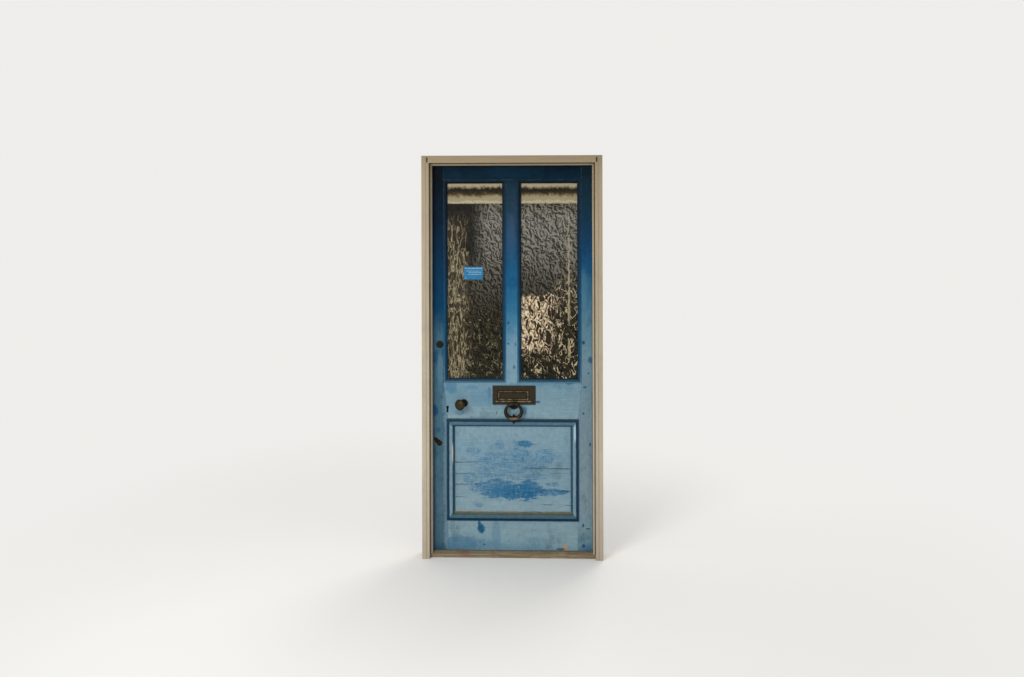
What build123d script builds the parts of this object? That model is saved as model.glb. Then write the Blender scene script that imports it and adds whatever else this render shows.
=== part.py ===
from build123d import *
import math
import os

os.makedirs("parts", exist_ok=True)

# A half-glazed panelled front door that opens inwards, hung in its timber frame.
# X is to the right as seen from outside, -Y points outside, +Z is up.
# The origin is on the underside of the sill, at the middle of its length and of the frame's depth.

# Door leaf
leaf_width = 838.0
leaf_height = 1981.0
leaf_thickness = 44.0
leaf_gap = 3.0
stop_gap = 1.0

# Timber frame
frame_depth = 100.0
jamb_thickness = 37.0
head_thickness = 37.0
rebate_depth = 46.0
stop_width = 13.0
stop_set_back = 25.0
bead_radius = 5.25
quirk_depth = 3.0
head_tenon_width = 25.0
head_tenon_depth = 24.0
fixing_hole_radius = 4.0
fixing_head_radius = 8.0
fixing_margin_lock_side = 350.0
fixing_margin_hinge_side = 470.0
open_joint_width = 8.0
open_joint_height = 26.0
open_joint_depth = 12.0
open_joint_rise = 2.0

# Sill
sill_thickness = 24.0
sill_nose_height = 19.0
sill_nose_radius = 6.0
sill_front_set_back = 22.0
sill_housing = 10.0

# Stiles, rails and the glazing bar
upper_stile_width = 65.0
lower_stile_width = 86.0
top_rail_height = 81.0
lock_rail_height = 190.0
lock_rail_top_height = 857.0
bottom_rail_height = 156.0
muntin_width = 57.0
muntin_shift = -3.0
tenon_thickness = 14.0
rail_tenon_height = 54.0
bottom_tenon_height = 90.0
tenon_edge_margin = 14.0
muntin_tenon_width = 36.0
muntin_tenon_length = 26.0

# Lower panel in its grooves
panel_thickness = 20.0
panel_set_back = 13.0
panel_tongue_thickness = 10.0
panel_tongue_length = 10.0
panel_shoulder_gap = 1.0
groove_spare = 2.0
crack_width = 2.2
crack_depth = 4.0

# Mouldings round the panel: raised and lapping outside, flush inside
bolection_width = 42.0
bolection_lap = 6.0
bolection_height = 10.0
bolection_band_start = 15.0
bolection_band_end = 31.5
bolection_hollow_depth = 3.0
inner_moulding_width = 22.0

# Mouldings, glass and beads in the upper half
glazing_moulding_width = 20.0
glazing_moulding_depth = 20.0
glass_thickness = 4.0
glass_edge_gap = 1.5
glazing_bead_width = 14.0

# Butt hinges
hinge_height = 100.0
hinge_flap_thickness = 2.5
hinge_flap_inset = 30.0
hinge_knuckles = 5
hinge_knuckle_radius = 5.5
hinge_knuckle_gap = 0.3
hinge_pin_radius = 3.0
hinge_pin_clearance = 0.05
hinge_pin_head_radius = 4.6
hinge_pin_head_height = 3.0
hinge_axis_stand_off = 6.5
hinge_swing_clearance = 0.3
hinge_top_margin = 150.0
hinge_bottom_margin = 230.0
screw_shank_radius = 2.0
screw_head_radius = 4.2
screw_head_height = 2.2
screw_length = 24.0
screw_clearance = 0.1
screw_tip_length = 4.0
screw_row_far = 20.4
screw_row_near = 9.0
screw_spread_far = 32.0
screw_spread_near = 12.0

# Letter plate with its flap hung from the top of the opening
letter_plate_width = 219.0
letter_plate_height = 96.0
letter_plate_thickness = 6.0
letter_plate_bevel = 2.0
letter_plate_shift = 8.0
letter_plate_drop = 62.0
letter_flap_width = 155.0
letter_flap_height = 46.0
letter_flap_thickness = 3.0
letter_flap_drop = 1.0
letter_flap_shift = -4.0
letter_flap_set_back = 0.3
letter_flap_field_height = 1.8
letter_flap_border = 4.5
letter_flap_play = 0.7
letter_lip_width = 2.0
letter_lip_thickness = 2.0
letter_pin_radius = 1.5
letter_pin_clearance = 0.06
letter_barrel_radius = 3.2
letter_lug_width = 5.0
letter_lug_half_height = 4.0
letter_lug_reach = 3.0
letter_barrel_overlap = 1.0
letter_rim_width = 2.0
letter_field_gap = 6.0
letter_field_drop = 0.8
letter_slot_spare = 7.0
letter_bolt_radius = 3.0
letter_bolt_clearance = 0.4
letter_bolt_spread = 196.0
letter_nut_radius = 8.0
letter_nut_height = 7.0

# Ring knocker
knocker_shift = -2.0
knocker_drop = 102.5
knocker_stand_off = 26.5
ring_half_width = 49.5
ring_half_height = 45.0
ring_top_radius = 6.0
ring_bottom_radius = 10.7
ring_taper = 0.8
boss_width = 58.0
boss_height = 25.0
boss_thickness = 6.0
boss_shoulder = 6.0
boss_chamfer = 1.5
boss_plate_gap = 0.3
lug_width = 20.0
lug_eye_radius = 11.5
lug_hole_radius = 8.0
strike_width = 28.0
strike_height = 56.0
strike_rise = 6.0
strike_thickness = 4.6
strike_stem_radius = 5.0
strike_rest_gap = 0.3

# Knobs and their square spindle
knob_spindle_from_edge = 169.0
knob_drop = 104.0
rose_radius = 20.0
rose_thickness = 6.0
rose_round = 2.5
knob_shank_radius = 8.0
knob_shank_clearance = 0.05
knob_neck_length = 24.0
knob_radius = 28.0
knob_length = 24.0
knob_tilt = 30.0
knob_rim_round = 1.0
knob_collar_rise = 1.2
knob_collar_stand_off = 9.5
knob_seat_depth = 10.0
spindle_side = 8.0
spindle_hole_radius = 9.0

# Rim lock on the inside face, with its keep on the frame
rim_lock_length = 203.0
rim_lock_height = 120.0
rim_lock_depth = 22.0
rim_lock_drop = 116.0
keyhole_from_edge = 85.0
keyhole_radius = 7.0
keyhole_slot_width = 9.0
keyhole_slot_length = 27.5
keyhole_drop = 125.0
keyhole_depth_in_case = 6.0
case_chamfer = 1.5
latch_bolt_length = 60.0
latch_bolt_height = 16.0
latch_bolt_drop = 80.0
dead_bolt_length = 58.0
dead_bolt_height = 20.0
dead_bolt_drop = 139.0
bolt_thickness = 12.0
bolt_set_in = 5.0
bolt_clearance = 0.2
bolt_travel_space = 16.0
latch_nose_chamfer = 8.0
keep_width = 28.0
keep_gap = 2.0
keep_pocket_clearance = 2.0

# Night latch above the lock rail
night_latch_from_edge = 46.0
night_latch_height = 1054.0
cylinder_ring_radius = 18.0
cylinder_ring_height = 6.0
cylinder_body_radius = 14.0
cylinder_body_clearance = 0.3
cylinder_ring_round = 3.0
plug_radius = 6.5
plug_clearance = 0.05
plug_proud = 1.5
plug_set_in = 9.0
plug_keyway_width = 2.0
plug_keyway_height = 8.0
plug_keyway_depth = 20.0
night_case_length = 90.0
night_case_height = 66.0
night_case_depth = 28.0
night_case_chamfer = 3.0
night_bolt_length = 34.0
night_bolt_height = 20.0
night_turn_from_edge = 66.0
night_turn_radius = 15.0
night_turn_length = 18.0
night_turn_shank_radius = 6.0
night_turn_shank_clearance = 0.05
night_turn_shank_length = 12.0
night_turn_stand_off = 2.0
night_turn_round = 3.0

# Deadlock let into the stile low down, with a swinging cover over its keyhole
deadlock_height = 553.0
deadlock_case_depth = 63.0
deadlock_case_height = 80.0
deadlock_case_thickness = 16.0
deadlock_face_height = 120.0
deadlock_face_width = 22.0
deadlock_face_thickness = 2.5
deadlock_bolt_length = 28.0
deadlock_bolt_height = 24.0
deadlock_bolt_thickness = 9.0
deadlock_key_from_edge = 43.0
deadlock_key_drop = 6.0
deadlock_key_radius = 5.0
deadlock_key_slot_width = 5.0
deadlock_key_slot_length = 16.0
strike_plate_height = 100.0
strike_plate_width = 24.0
strike_plate_thickness = 2.0
cover_disc_radius = 13.5
cover_pivot_radius = 8.0
cover_pivot_offset_x = -20.0
cover_pivot_offset_z = 21.0
cover_thickness = 2.5
cover_back_gap = 0.3
rivet_radius = 2.5
rivet_head_radius = 5.0
rivet_head_height = 2.0
rivet_length = 13.0
rivet_clearance = 0.05
rivet_play = 0.2
rivet_round = 1.2
cover_chamfer = 0.8

# Planes of the frame, worked out from the sizes above
frame_front = -frame_depth / 2
frame_back = frame_depth / 2
stop_back = frame_back - rebate_depth
stop_front = frame_front + stop_set_back
rebate_x = leaf_width / 2 + leaf_gap
stop_x = rebate_x - stop_width
frame_x = rebate_x + jamb_thickness
leaf_bottom = sill_thickness + leaf_gap
leaf_top = leaf_bottom + leaf_height
rebate_z = leaf_top + leaf_gap
stop_z = rebate_z - stop_width
frame_top = rebate_z + head_thickness
sill_front = frame_front + sill_front_set_back
rebate_middle = (stop_back + frame_back) / 2

# Planes of the leaf
leaf_x = leaf_width / 2
leaf_front = stop_back + stop_gap
leaf_back = leaf_front + leaf_thickness
leaf_middle = (leaf_front + leaf_back) / 2
upper_x = leaf_x - upper_stile_width
lower_x = leaf_x - lower_stile_width
muntin_left = muntin_shift - muntin_width / 2
muntin_right = muntin_shift + muntin_width / 2
lock_top = leaf_bottom + lock_rail_top_height
lock_bottom = lock_top - lock_rail_height
bottom_top = leaf_bottom + bottom_rail_height
top_bottom = leaf_top - top_rail_height
panel_front = leaf_front + panel_set_back
panel_back = panel_front + panel_thickness
groove_depth = panel_tongue_length + groove_spare
glass_front = leaf_front + glazing_moulding_depth
glass_back = glass_front + glass_thickness
tongue_y = (leaf_middle - panel_tongue_thickness / 2, leaf_middle + panel_tongue_thickness / 2)
tenon_y = (leaf_middle - tenon_thickness / 2, leaf_middle + tenon_thickness / 2)

# Tenons, as lowest and highest points
top_tenon = (leaf_top - tenon_edge_margin / 2 - rail_tenon_height, leaf_top - tenon_edge_margin / 2)
lock_tenons = [(lock_bottom + tenon_edge_margin, lock_bottom + tenon_edge_margin + rail_tenon_height),
               (lock_top - tenon_edge_margin - rail_tenon_height, lock_top - tenon_edge_margin)]
bottom_tenon = (leaf_bottom + 2 * tenon_edge_margin,
                leaf_bottom + 2 * tenon_edge_margin + bottom_tenon_height)

# Hinges
hinge_x = (leaf_x + rebate_x) / 2
hinge_y = frame_back + hinge_axis_stand_off
top_hinge_z = leaf_top - hinge_top_margin - hinge_height / 2
bottom_hinge_z = leaf_bottom + hinge_bottom_margin + hinge_height / 2
hinge_levels = {
    "top": top_hinge_z,
    "middle": (top_hinge_z + bottom_hinge_z) / 2,
    "bottom": bottom_hinge_z,
}

# Letter plate, knocker, knob and locks
letter_x = letter_plate_shift
letter_z = lock_top - letter_plate_drop
letter_front = leaf_front - letter_plate_thickness
flap_x = letter_x + letter_flap_shift
flap_z = letter_z - letter_flap_drop
flap_front = letter_front + letter_lip_thickness + letter_flap_set_back
flap_back = flap_front + letter_flap_thickness
flap_pivot_y = flap_back + letter_barrel_radius - letter_barrel_overlap
flap_pivot_z = flap_z + letter_flap_height / 2 - letter_barrel_radius
flap_room_x = letter_flap_width / 2 + letter_flap_play
flap_room_z = letter_flap_height / 2 + letter_flap_play
letter_lug_x = flap_room_x + letter_lug_width
slot_x = letter_lug_x + 1.0
slot_low = flap_z - flap_room_z - 1.0
slot_high = flap_z + letter_flap_height / 2 + letter_slot_spare

knocker_x = letter_x + knocker_shift
knocker_y = leaf_front - knocker_stand_off
knocker_z = lock_top - knocker_drop
ring_z = knocker_z - (ring_half_height - ring_top_radius)
strike_front = knocker_y + ring_bottom_radius + strike_rest_gap
strike_z = ring_z - ring_half_height + strike_rise

spindle_x = -leaf_x + knob_spindle_from_edge
spindle_z = lock_top - knob_drop
rose_front = leaf_front - rose_thickness
knob_root_y = rose_front - knob_collar_stand_off
rim_lock_back = leaf_back + rim_lock_depth
rim_lock_z = lock_top - rim_lock_drop
keyhole_x = -leaf_x + keyhole_from_edge
keyhole_z = lock_top - keyhole_drop
rim_bolt_y = (leaf_back + bolt_set_in, leaf_back + bolt_set_in + bolt_thickness)
latch_z = lock_top - latch_bolt_drop
dead_z = lock_top - dead_bolt_drop
keep_x = -rebate_x - keep_gap

night_x = -leaf_x + night_latch_from_edge
night_z = leaf_bottom + night_latch_height
night_case_back = leaf_back + night_case_depth
night_turn_x = -leaf_x + night_turn_from_edge

deadlock_z = leaf_bottom + deadlock_height
deadlock_key_x = -leaf_x + deadlock_key_from_edge
deadlock_key_z = deadlock_z - deadlock_key_drop
cover_pivot = (deadlock_key_x + cover_pivot_offset_x, deadlock_key_z + cover_pivot_offset_z)
cover_back = leaf_front - cover_back_gap
cover_front = cover_back - cover_thickness


def block(x_span, y_span, z_span, mode=Mode.ADD):
    """A rectangular block between two limits along each axis."""
    spans = [sorted(x_span), sorted(y_span), sorted(z_span)]
    with Locations(tuple((low + high) / 2 for low, high in spans)):
        Box(*(high - low for low, high in spans), mode=mode)


def outline(*points):
    """A closed face with straight sides."""
    Polygon(*points, align=None)


def facing_outside(y):
    """A sketch plane seen from outside: its extrusions grow towards -Y."""
    return Plane.XZ.offset(-y)


def rod(x, z, radius, y_front, y_back, mode=Mode.ADD):
    """A round bar, or a hole, along Y."""
    with Locations(Location((x, (y_front + y_back) / 2, z), (90, 0, 0))):
        Cylinder(radius, y_back - y_front, mode=mode)


def cross_bar(x_span, y, z, radius, mode=Mode.ADD):
    """A round bar, or a hole, along X."""
    with Locations(Location(((x_span[0] + x_span[1]) / 2, y, z), (0, 90, 0))):
        Cylinder(radius, x_span[1] - x_span[0], mode=mode)


def screw_places(level):
    """Y and Z of a hinge flap's four screws, zigzag as on a butt hinge."""
    far, near = frame_back - screw_row_far, frame_back - screw_row_near
    return [(far, level - screw_spread_far), (near, level - screw_spread_near),
            (near, level + screw_spread_near), (far, level + screw_spread_far)]


def hinge_screw_holes(x_from, x_to):
    """The holes for the screws of all hinges in one edge."""
    for level in hinge_levels.values():
        for y, z in screw_places(level):
            cross_bar((x_from, x_to), y, z, screw_shank_radius + screw_clearance, mode=Mode.SUBTRACT)


def save(part, node):
    """Name one finished piece and write it."""
    part.label = node
    export_step(part, f"parts/{node}.step")


# Frame: two jambs and a head round a sill, with beaded stops set back from the face

def stop_section():
    """The stop's section: distance beyond the rebate face, then Y."""
    bead_y = stop_front + bead_radius
    quirk_a = 2 * bead_radius - stop_width
    with BuildSketch() as section:
        with BuildLine():
            Polyline((0, bead_y + quirk_depth), (0, stop_back), (-stop_width, stop_back), (-stop_width, bead_y))
            ThreePointArc((-stop_width, bead_y), (bead_radius - stop_width, stop_front), (quirk_a, bead_y))
            Polyline((quirk_a, bead_y), (quirk_a, bead_y + quirk_depth), (0, bead_y + quirk_depth))
        make_face()
    return section.sketch


def sill_section():
    """The sill's section in Y and Z, with a rounded nose and a weathered slope."""
    with BuildSketch() as section:
        with BuildLine():
            Polyline((frame_back, 0), (sill_front, 0), (sill_front, sill_nose_height - sill_nose_radius))
            ThreePointArc((sill_front, sill_nose_height - sill_nose_radius),
                          (sill_front + sill_nose_radius * (1 - math.sqrt(0.5)),
                           sill_nose_height - sill_nose_radius * (1 - math.sqrt(0.5))),
                          (sill_front + sill_nose_radius, sill_nose_height))
            Polyline((sill_front + sill_nose_radius, sill_nose_height), (stop_back, sill_thickness),
                     (frame_back, sill_thickness), (frame_back, 0))
        make_face()
    return section.sketch


def frame_tenon(side, mode):
    """The tenon of a jamb that passes up through the head."""
    middle = rebate_x + jamb_thickness / 2
    block((side * (middle - head_tenon_width / 2), side * (middle + head_tenon_width / 2)),
          (-head_tenon_depth / 2, head_tenon_depth / 2), (rebate_z, frame_top), mode=mode)


def cut_to_sill():
    """Takes the sill's shape out of what stands on it."""
    with BuildSketch(Plane.YZ.offset(-rebate_x - sill_housing)) as sill_face:
        add(sill_section())
    extrude(sill_face.sketch, amount=2 * (rebate_x + sill_housing), mode=Mode.SUBTRACT)


def bolt_pocket(x_face, depth, y_span, z, height, mode=Mode.SUBTRACT):
    """A pocket that a bolt enters from the right."""
    spare = keep_pocket_clearance
    block((x_face, x_face - depth), (y_span[0] - spare, y_span[1] + spare),
          (z - height / 2 - spare, z + height / 2 + spare), mode=mode)


deadlock_bolt_y = (leaf_middle - deadlock_bolt_thickness / 2, leaf_middle + deadlock_bolt_thickness / 2)

for side, node in ((-1, "jamb_lock_side"), (1, "jamb_hinge_side")):
    with BuildPart() as jamb:
        block((side * rebate_x, side * frame_x), (frame_front, frame_back), (0, rebate_z))
        cut_to_sill()
        frame_tenon(side, Mode.ADD)
        margin = fixing_margin_lock_side if side < 0 else fixing_margin_hinge_side
        for level in (margin, rebate_z - margin):
            with Locations(Plane(origin=(side * rebate_x, rebate_middle, level), z_dir=(-side, 0, 0))):
                CounterSinkHole(fixing_hole_radius, fixing_head_radius, depth=jamb_thickness)
        if side > 0:
            for level in hinge_levels.values():
                block((rebate_x, rebate_x + hinge_flap_thickness), (frame_back - hinge_flap_inset, frame_back),
                      (level - hinge_height / 2, level + hinge_height / 2), mode=Mode.SUBTRACT)
            hinge_screw_holes(rebate_x, rebate_x + screw_length + screw_clearance)
        else:
            block((-rebate_x, -rebate_x - strike_plate_thickness),
                  (leaf_middle - strike_plate_width / 2, leaf_middle + strike_plate_width / 2),
                  (deadlock_z - strike_plate_height / 2, deadlock_z + strike_plate_height / 2),
                  mode=Mode.SUBTRACT)
            bolt_pocket(-rebate_x, strike_plate_thickness + bolt_travel_space, deadlock_bolt_y,
                        deadlock_z, deadlock_bolt_height)
    save(jamb.part, node)

with BuildPart() as frame_head:
    block((-frame_x, frame_x), (frame_front, frame_back), (rebate_z, frame_top))
    for side in (-1, 1):
        frame_tenon(side, Mode.SUBTRACT)
        joint_x = rebate_x + open_joint_width
        with BuildSketch(facing_outside(frame_front + open_joint_depth)):
            with Locations((side * joint_x, rebate_z + open_joint_height / 2 + open_joint_rise)):
                SlotOverall(open_joint_height, open_joint_width, rotation=90)
        extrude(amount=open_joint_depth, mode=Mode.SUBTRACT)
save(frame_head.part, "frame_head")

# The stops are planted on the jambs and the head, mitred in the corners and scribed over the sill
frame_stops = []
for side in (-1, 1):
    with BuildPart() as side_stop:
        with BuildSketch(Plane(origin=(side * rebate_x, 0, 0), x_dir=(side, 0, 0), z_dir=(0, 0, side))):
            add(stop_section())
        extrude(amount=side * rebate_z)
        with BuildSketch(facing_outside(frame_back)):
            outline((side * rebate_x, rebate_z), (side * stop_x, rebate_z), (side * stop_x, stop_z))
        extrude(amount=frame_depth, mode=Mode.SUBTRACT)
        cut_to_sill()
    frame_stops.append(side_stop.part)

with BuildPart() as head_stop:
    with BuildSketch(Plane(origin=(0, 0, rebate_z), x_dir=(0, 0, 1), z_dir=(-1, 0, 0))):
        add(stop_section())
    extrude(amount=rebate_x, both=True)
    for side in (-1, 1):
        with BuildSketch(facing_outside(frame_back)):
            outline((side * rebate_x, rebate_z), (side * stop_x, stop_z), (side * rebate_x, stop_z))
        extrude(amount=frame_depth, mode=Mode.SUBTRACT)
frame_stops.append(head_stop.part)
save(Compound(children=frame_stops), "frame_stops")

with BuildPart() as sill:
    with BuildSketch(Plane.YZ.offset(-rebate_x - sill_housing)):
        add(sill_section())
    extrude(amount=2 * (rebate_x + sill_housing))
save(sill.part, "sill")


# Leaf: through-tenoned stiles and rails, with stiles cut away above the lock rail's sloping shoulders

def rail_tenon(side, z_span, mode):
    """A tenon that runs through the stile to its outer edge."""
    block((side * (lower_x - tenon_edge_margin), side * leaf_x), tenon_y, z_span, mode=mode)


def muntin_tenon(z_from, z_to, mode):
    block((muntin_shift - muntin_tenon_width / 2, muntin_shift + muntin_tenon_width / 2), tenon_y,
          (z_from, z_to), mode=mode)


def key_opening(x, z, radius, slot_width, slot_length, y_front, y_back):
    """A keyhole with a round top, cut along Y."""
    rod(x, z, radius, y_front, y_back, mode=Mode.SUBTRACT)
    block((x - slot_width / 2, x + slot_width / 2), (y_front, y_back), (z - slot_length, z), mode=Mode.SUBTRACT)


def rim_keyhole(y_front, y_back):
    key_opening(keyhole_x, keyhole_z, keyhole_radius, keyhole_slot_width,
                keyhole_slot_length, y_front, y_back)


def deadlock_keyhole(y_front, y_back):
    key_opening(deadlock_key_x, deadlock_key_z, deadlock_key_radius, deadlock_key_slot_width,
                deadlock_key_slot_length, y_front, y_back)


def panel_groove(x_span, z_span):
    block(x_span, tongue_y, z_span, mode=Mode.SUBTRACT)


for side, node in ((-1, "stile_lock_side"), (1, "stile_hinge_side")):
    with BuildPart() as stile:
        with BuildSketch(facing_outside(leaf_back)):
            outline((side * leaf_x, leaf_bottom), (side * lower_x, leaf_bottom),
                    (side * lower_x, lock_bottom), (side * upper_x, lock_top),
                    (side * upper_x, leaf_top), (side * leaf_x, leaf_top))
        extrude(amount=leaf_thickness)
        for z_span in [top_tenon, *lock_tenons, bottom_tenon]:
            rail_tenon(side, z_span, Mode.SUBTRACT)
        panel_groove((side * lower_x, side * (lower_x + groove_depth)),
                     (bottom_top - groove_depth, lock_bottom + groove_depth))
        if side > 0:
            for level in hinge_levels.values():
                block((leaf_x - hinge_flap_thickness, leaf_x), (frame_back - hinge_flap_inset, leaf_back),
                      (level - hinge_height / 2, level + hinge_height / 2), mode=Mode.SUBTRACT)
            hinge_screw_holes(leaf_x - screw_length - screw_clearance, leaf_x)
        else:
            rim_keyhole(leaf_front, leaf_back)
            rod(night_x, night_z, cylinder_body_radius + cylinder_body_clearance,
                leaf_front, leaf_back, mode=Mode.SUBTRACT)
            deadlock_keyhole(leaf_front, leaf_back)
            rod(*cover_pivot, rivet_radius + screw_clearance, leaf_front, leaf_front + rivet_length,
                mode=Mode.SUBTRACT)
            block((-leaf_x, -leaf_x + deadlock_case_depth),
                  (leaf_middle - deadlock_case_thickness / 2, leaf_middle + deadlock_case_thickness / 2),
                  (deadlock_z - deadlock_case_height / 2, deadlock_z + deadlock_case_height / 2),
                  mode=Mode.SUBTRACT)
            block((-leaf_x, -leaf_x + deadlock_face_thickness),
                  (leaf_middle - deadlock_face_width / 2, leaf_middle + deadlock_face_width / 2),
                  (deadlock_z - deadlock_face_height / 2, deadlock_z + deadlock_face_height / 2),
                  mode=Mode.SUBTRACT)
    save(stile.part, node)

with BuildPart() as top_rail:
    block((-upper_x, upper_x), (leaf_front, leaf_back), (top_bottom, leaf_top))
    for side in (-1, 1):
        rail_tenon(side, top_tenon, Mode.ADD)
    muntin_tenon(top_bottom, top_bottom + muntin_tenon_length, Mode.SUBTRACT)
save(top_rail.part, "top_rail")

with BuildPart() as lock_rail:
    with BuildSketch(facing_outside(leaf_back)):
        outline((-lower_x, lock_bottom), (lower_x, lock_bottom), (upper_x, lock_top), (-upper_x, lock_top))
    extrude(amount=leaf_thickness)
    for side in (-1, 1):
        for z_span in lock_tenons:
            rail_tenon(side, z_span, Mode.ADD)
    panel_groove((-lower_x - groove_depth, lower_x + groove_depth), (lock_bottom, lock_bottom + groove_depth))
    muntin_tenon(lock_top - muntin_tenon_length, lock_top, Mode.SUBTRACT)
    block((flap_x - slot_x, flap_x + slot_x), (leaf_front, leaf_back), (slot_low, slot_high),
          mode=Mode.SUBTRACT)
    for side in (-1, 1):
        rod(letter_x + side * letter_bolt_spread / 2, letter_z, letter_bolt_radius + letter_bolt_clearance,
            leaf_front, leaf_back, mode=Mode.SUBTRACT)
    rod(spindle_x, spindle_z, spindle_hole_radius, leaf_front, leaf_back, mode=Mode.SUBTRACT)
    rim_keyhole(leaf_front, leaf_back)
save(lock_rail.part, "lock_rail")

with BuildPart() as bottom_rail:
    block((-lower_x, lower_x), (leaf_front, leaf_back), (leaf_bottom, bottom_top))
    for side in (-1, 1):
        rail_tenon(side, bottom_tenon, Mode.ADD)
    panel_groove((-lower_x, lower_x), (bottom_top - groove_depth, bottom_top))
save(bottom_rail.part, "bottom_rail")

with BuildPart() as glazing_bar:
    block((muntin_left, muntin_right), (leaf_front, leaf_back), (lock_top, top_bottom))
    muntin_tenon(lock_top - muntin_tenon_length, lock_top, Mode.ADD)
    muntin_tenon(top_bottom, top_bottom + muntin_tenon_length, Mode.ADD)
save(glazing_bar.part, "glazing_bar")

# Shrinkage cracks of the panel: the open end, the tip, and the height above the leaf's foot
cracks = (
    (-296.0, -150.0, 444.0),
    (-296.0, -200.0, 384.0),
    (-296.0, -140.0, 329.0),
    (-296.0, -215.0, 268.0),
    (296.0, 80.0, 413.0),
    (296.0, 190.0, 299.0),
    (296.0, 226.0, 227.0),
    (94.0, 0.0, 356.0),
)

with BuildPart() as lower_panel:
    block((-lower_x - panel_tongue_length, lower_x + panel_tongue_length), tongue_y,
          (bottom_top - panel_tongue_length, lock_bottom + panel_tongue_length))
    block((-lower_x + panel_shoulder_gap, lower_x - panel_shoulder_gap), (panel_front, panel_back),
          (bottom_top + panel_shoulder_gap, lock_bottom - panel_shoulder_gap))
    with BuildSketch(facing_outside(panel_front + crack_depth)):
        for open_x, tip_x, height in cracks:
            z = leaf_bottom + height
            outline((open_x, z - crack_width / 2), (open_x, z + crack_width / 2), (tip_x, z + crack_width))
    extrude(amount=crack_depth, mode=Mode.SUBTRACT)
save(lower_panel.part, "lower_panel")


# Mouldings: each length is run to its section and cut to 45 degrees at both ends

def strip_plane(side, x0, x1, z0, z1):
    """Section plane at the middle of one side of a rectangle: local x runs inwards, local y along Y."""
    middle_x, middle_z = (x0 + x1) / 2, (z0 + z1) / 2
    return {
        "left": Plane(origin=(x0, 0, middle_z), x_dir=(1, 0, 0), z_dir=(0, 0, 1)),
        "right": Plane(origin=(x1, 0, middle_z), x_dir=(-1, 0, 0), z_dir=(0, 0, -1)),
        "bottom": Plane(origin=(middle_x, 0, z0), x_dir=(0, 0, 1), z_dir=(-1, 0, 0)),
        "top": Plane(origin=(middle_x, 0, z1), x_dir=(0, 0, -1), z_dir=(1, 0, 0)),
    }[side]


def mitred_strip(side, rectangle, width, section):
    """One mitred length of moulding round the inside of a rectangle."""
    x0, x1, z0, z1 = rectangle
    ends = {
        "left": ((x0, z0), (x0 + width, z0 + width), (x0 + width, z1 - width), (x0, z1)),
        "right": ((x1, z0), (x1 - width, z0 + width), (x1 - width, z1 - width), (x1, z1)),
        "bottom": ((x0, z0), (x0 + width, z0 + width), (x1 - width, z0 + width), (x1, z0)),
        "top": ((x0, z1), (x0 + width, z1 - width), (x1 - width, z1 - width), (x1, z1)),
    }[side]
    with BuildPart() as strip:
        with BuildSketch(strip_plane(side, *rectangle)):
            add(section())
        extrude(amount=max(x1 - x0, z1 - z0) / 2, both=True)
        with BuildSketch(facing_outside(frame_back)):
            outline(*ends)
        extrude(amount=frame_depth, mode=Mode.INTERSECT)
    return strip.part


def bolection_section():
    """Outer lip on the framing, a hollow, a broad raised band, and a steep fall to the panel."""
    crest = leaf_front - bolection_height
    band_start, band_end = bolection_band_start, bolection_band_end
    lip_y = leaf_front - bolection_hollow_depth
    with BuildSketch() as section:
        with BuildLine():
            Polyline((bolection_lap, leaf_front), (0, leaf_front), (0, lip_y), (2.5, lip_y - 0.8))
            ThreePointArc((2.5, lip_y - 0.8), (0.72 * band_start, lip_y - 1.2), (band_start, crest + 3.0))
            Line((band_start, crest + 3.0), (band_start, crest + 1.6))
            ThreePointArc((band_start, crest + 1.6), ((band_start + band_end) / 2, crest), (band_end, crest + 2.4))
            Line((band_end, crest + 2.4), (band_end + 1.0, crest + 5.0))
            ThreePointArc((band_end + 1.0, crest + 5.0),
                          (band_end + 0.25 * (bolection_width - band_end), panel_front - 5.0),
                          (bolection_width, panel_front - 1.5))
            Polyline((bolection_width, panel_front - 1.5), (bolection_width, panel_front),
                     (bolection_lap, panel_front), (bolection_lap, leaf_front))
        make_face()
    return section.sketch


def inner_moulding_section():
    """A quirked ovolo in the opening on the inside face."""
    w = inner_moulding_width
    with BuildSketch() as section:
        with BuildLine():
            Polyline((w, panel_back + 1.5), (w, panel_back), (0, panel_back), (0, leaf_back - 2.5),
                     (1.5, leaf_back - 2.5), (1.5, leaf_back - 0.5), (5.0, leaf_back - 0.5))
            ThreePointArc((5.0, leaf_back - 0.5), (0.74 * w, panel_back + 7.0), (w - 2.0, panel_back + 1.5))
            Line((w - 2.0, panel_back + 1.5), (w, panel_back + 1.5))
        make_face()
    return section.sketch


def glazing_moulding_section():
    """A quirk, a flat, an ovolo and a fillet, down to the glass."""
    w, face = glazing_moulding_width, leaf_front
    with BuildSketch() as section:
        with BuildLine():
            Polyline((w, glass_front), (0, glass_front), (0, face + 2.5), (1.5, face + 2.5),
                     (1.5, face + 0.8), (6.0, face + 0.8), (6.0, face + 2.8))
            ThreePointArc((6.0, face + 2.8), (0.73 * w, face + 6.5), (0.84 * w, face + 13.5))
            Polyline((0.84 * w, face + 13.5), (w, face + 13.5), (w, glass_front))
        make_face()
    return section.sketch


def glazing_bead_section():
    """A plain bead with a rounded arris, against the glass on the inside."""
    w = glazing_bead_width
    with BuildSketch() as section:
        with BuildLine():
            Polyline((w, leaf_back - 6.0), (w, glass_back), (0, glass_back), (0, leaf_back - 0.5),
                     (w - 5.5, leaf_back - 0.5))
            ThreePointArc((w - 5.5, leaf_back - 0.5), (w - 1.6, leaf_back - 2.1), (w, leaf_back - 6.0))
        make_face()
    return section.sketch


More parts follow.
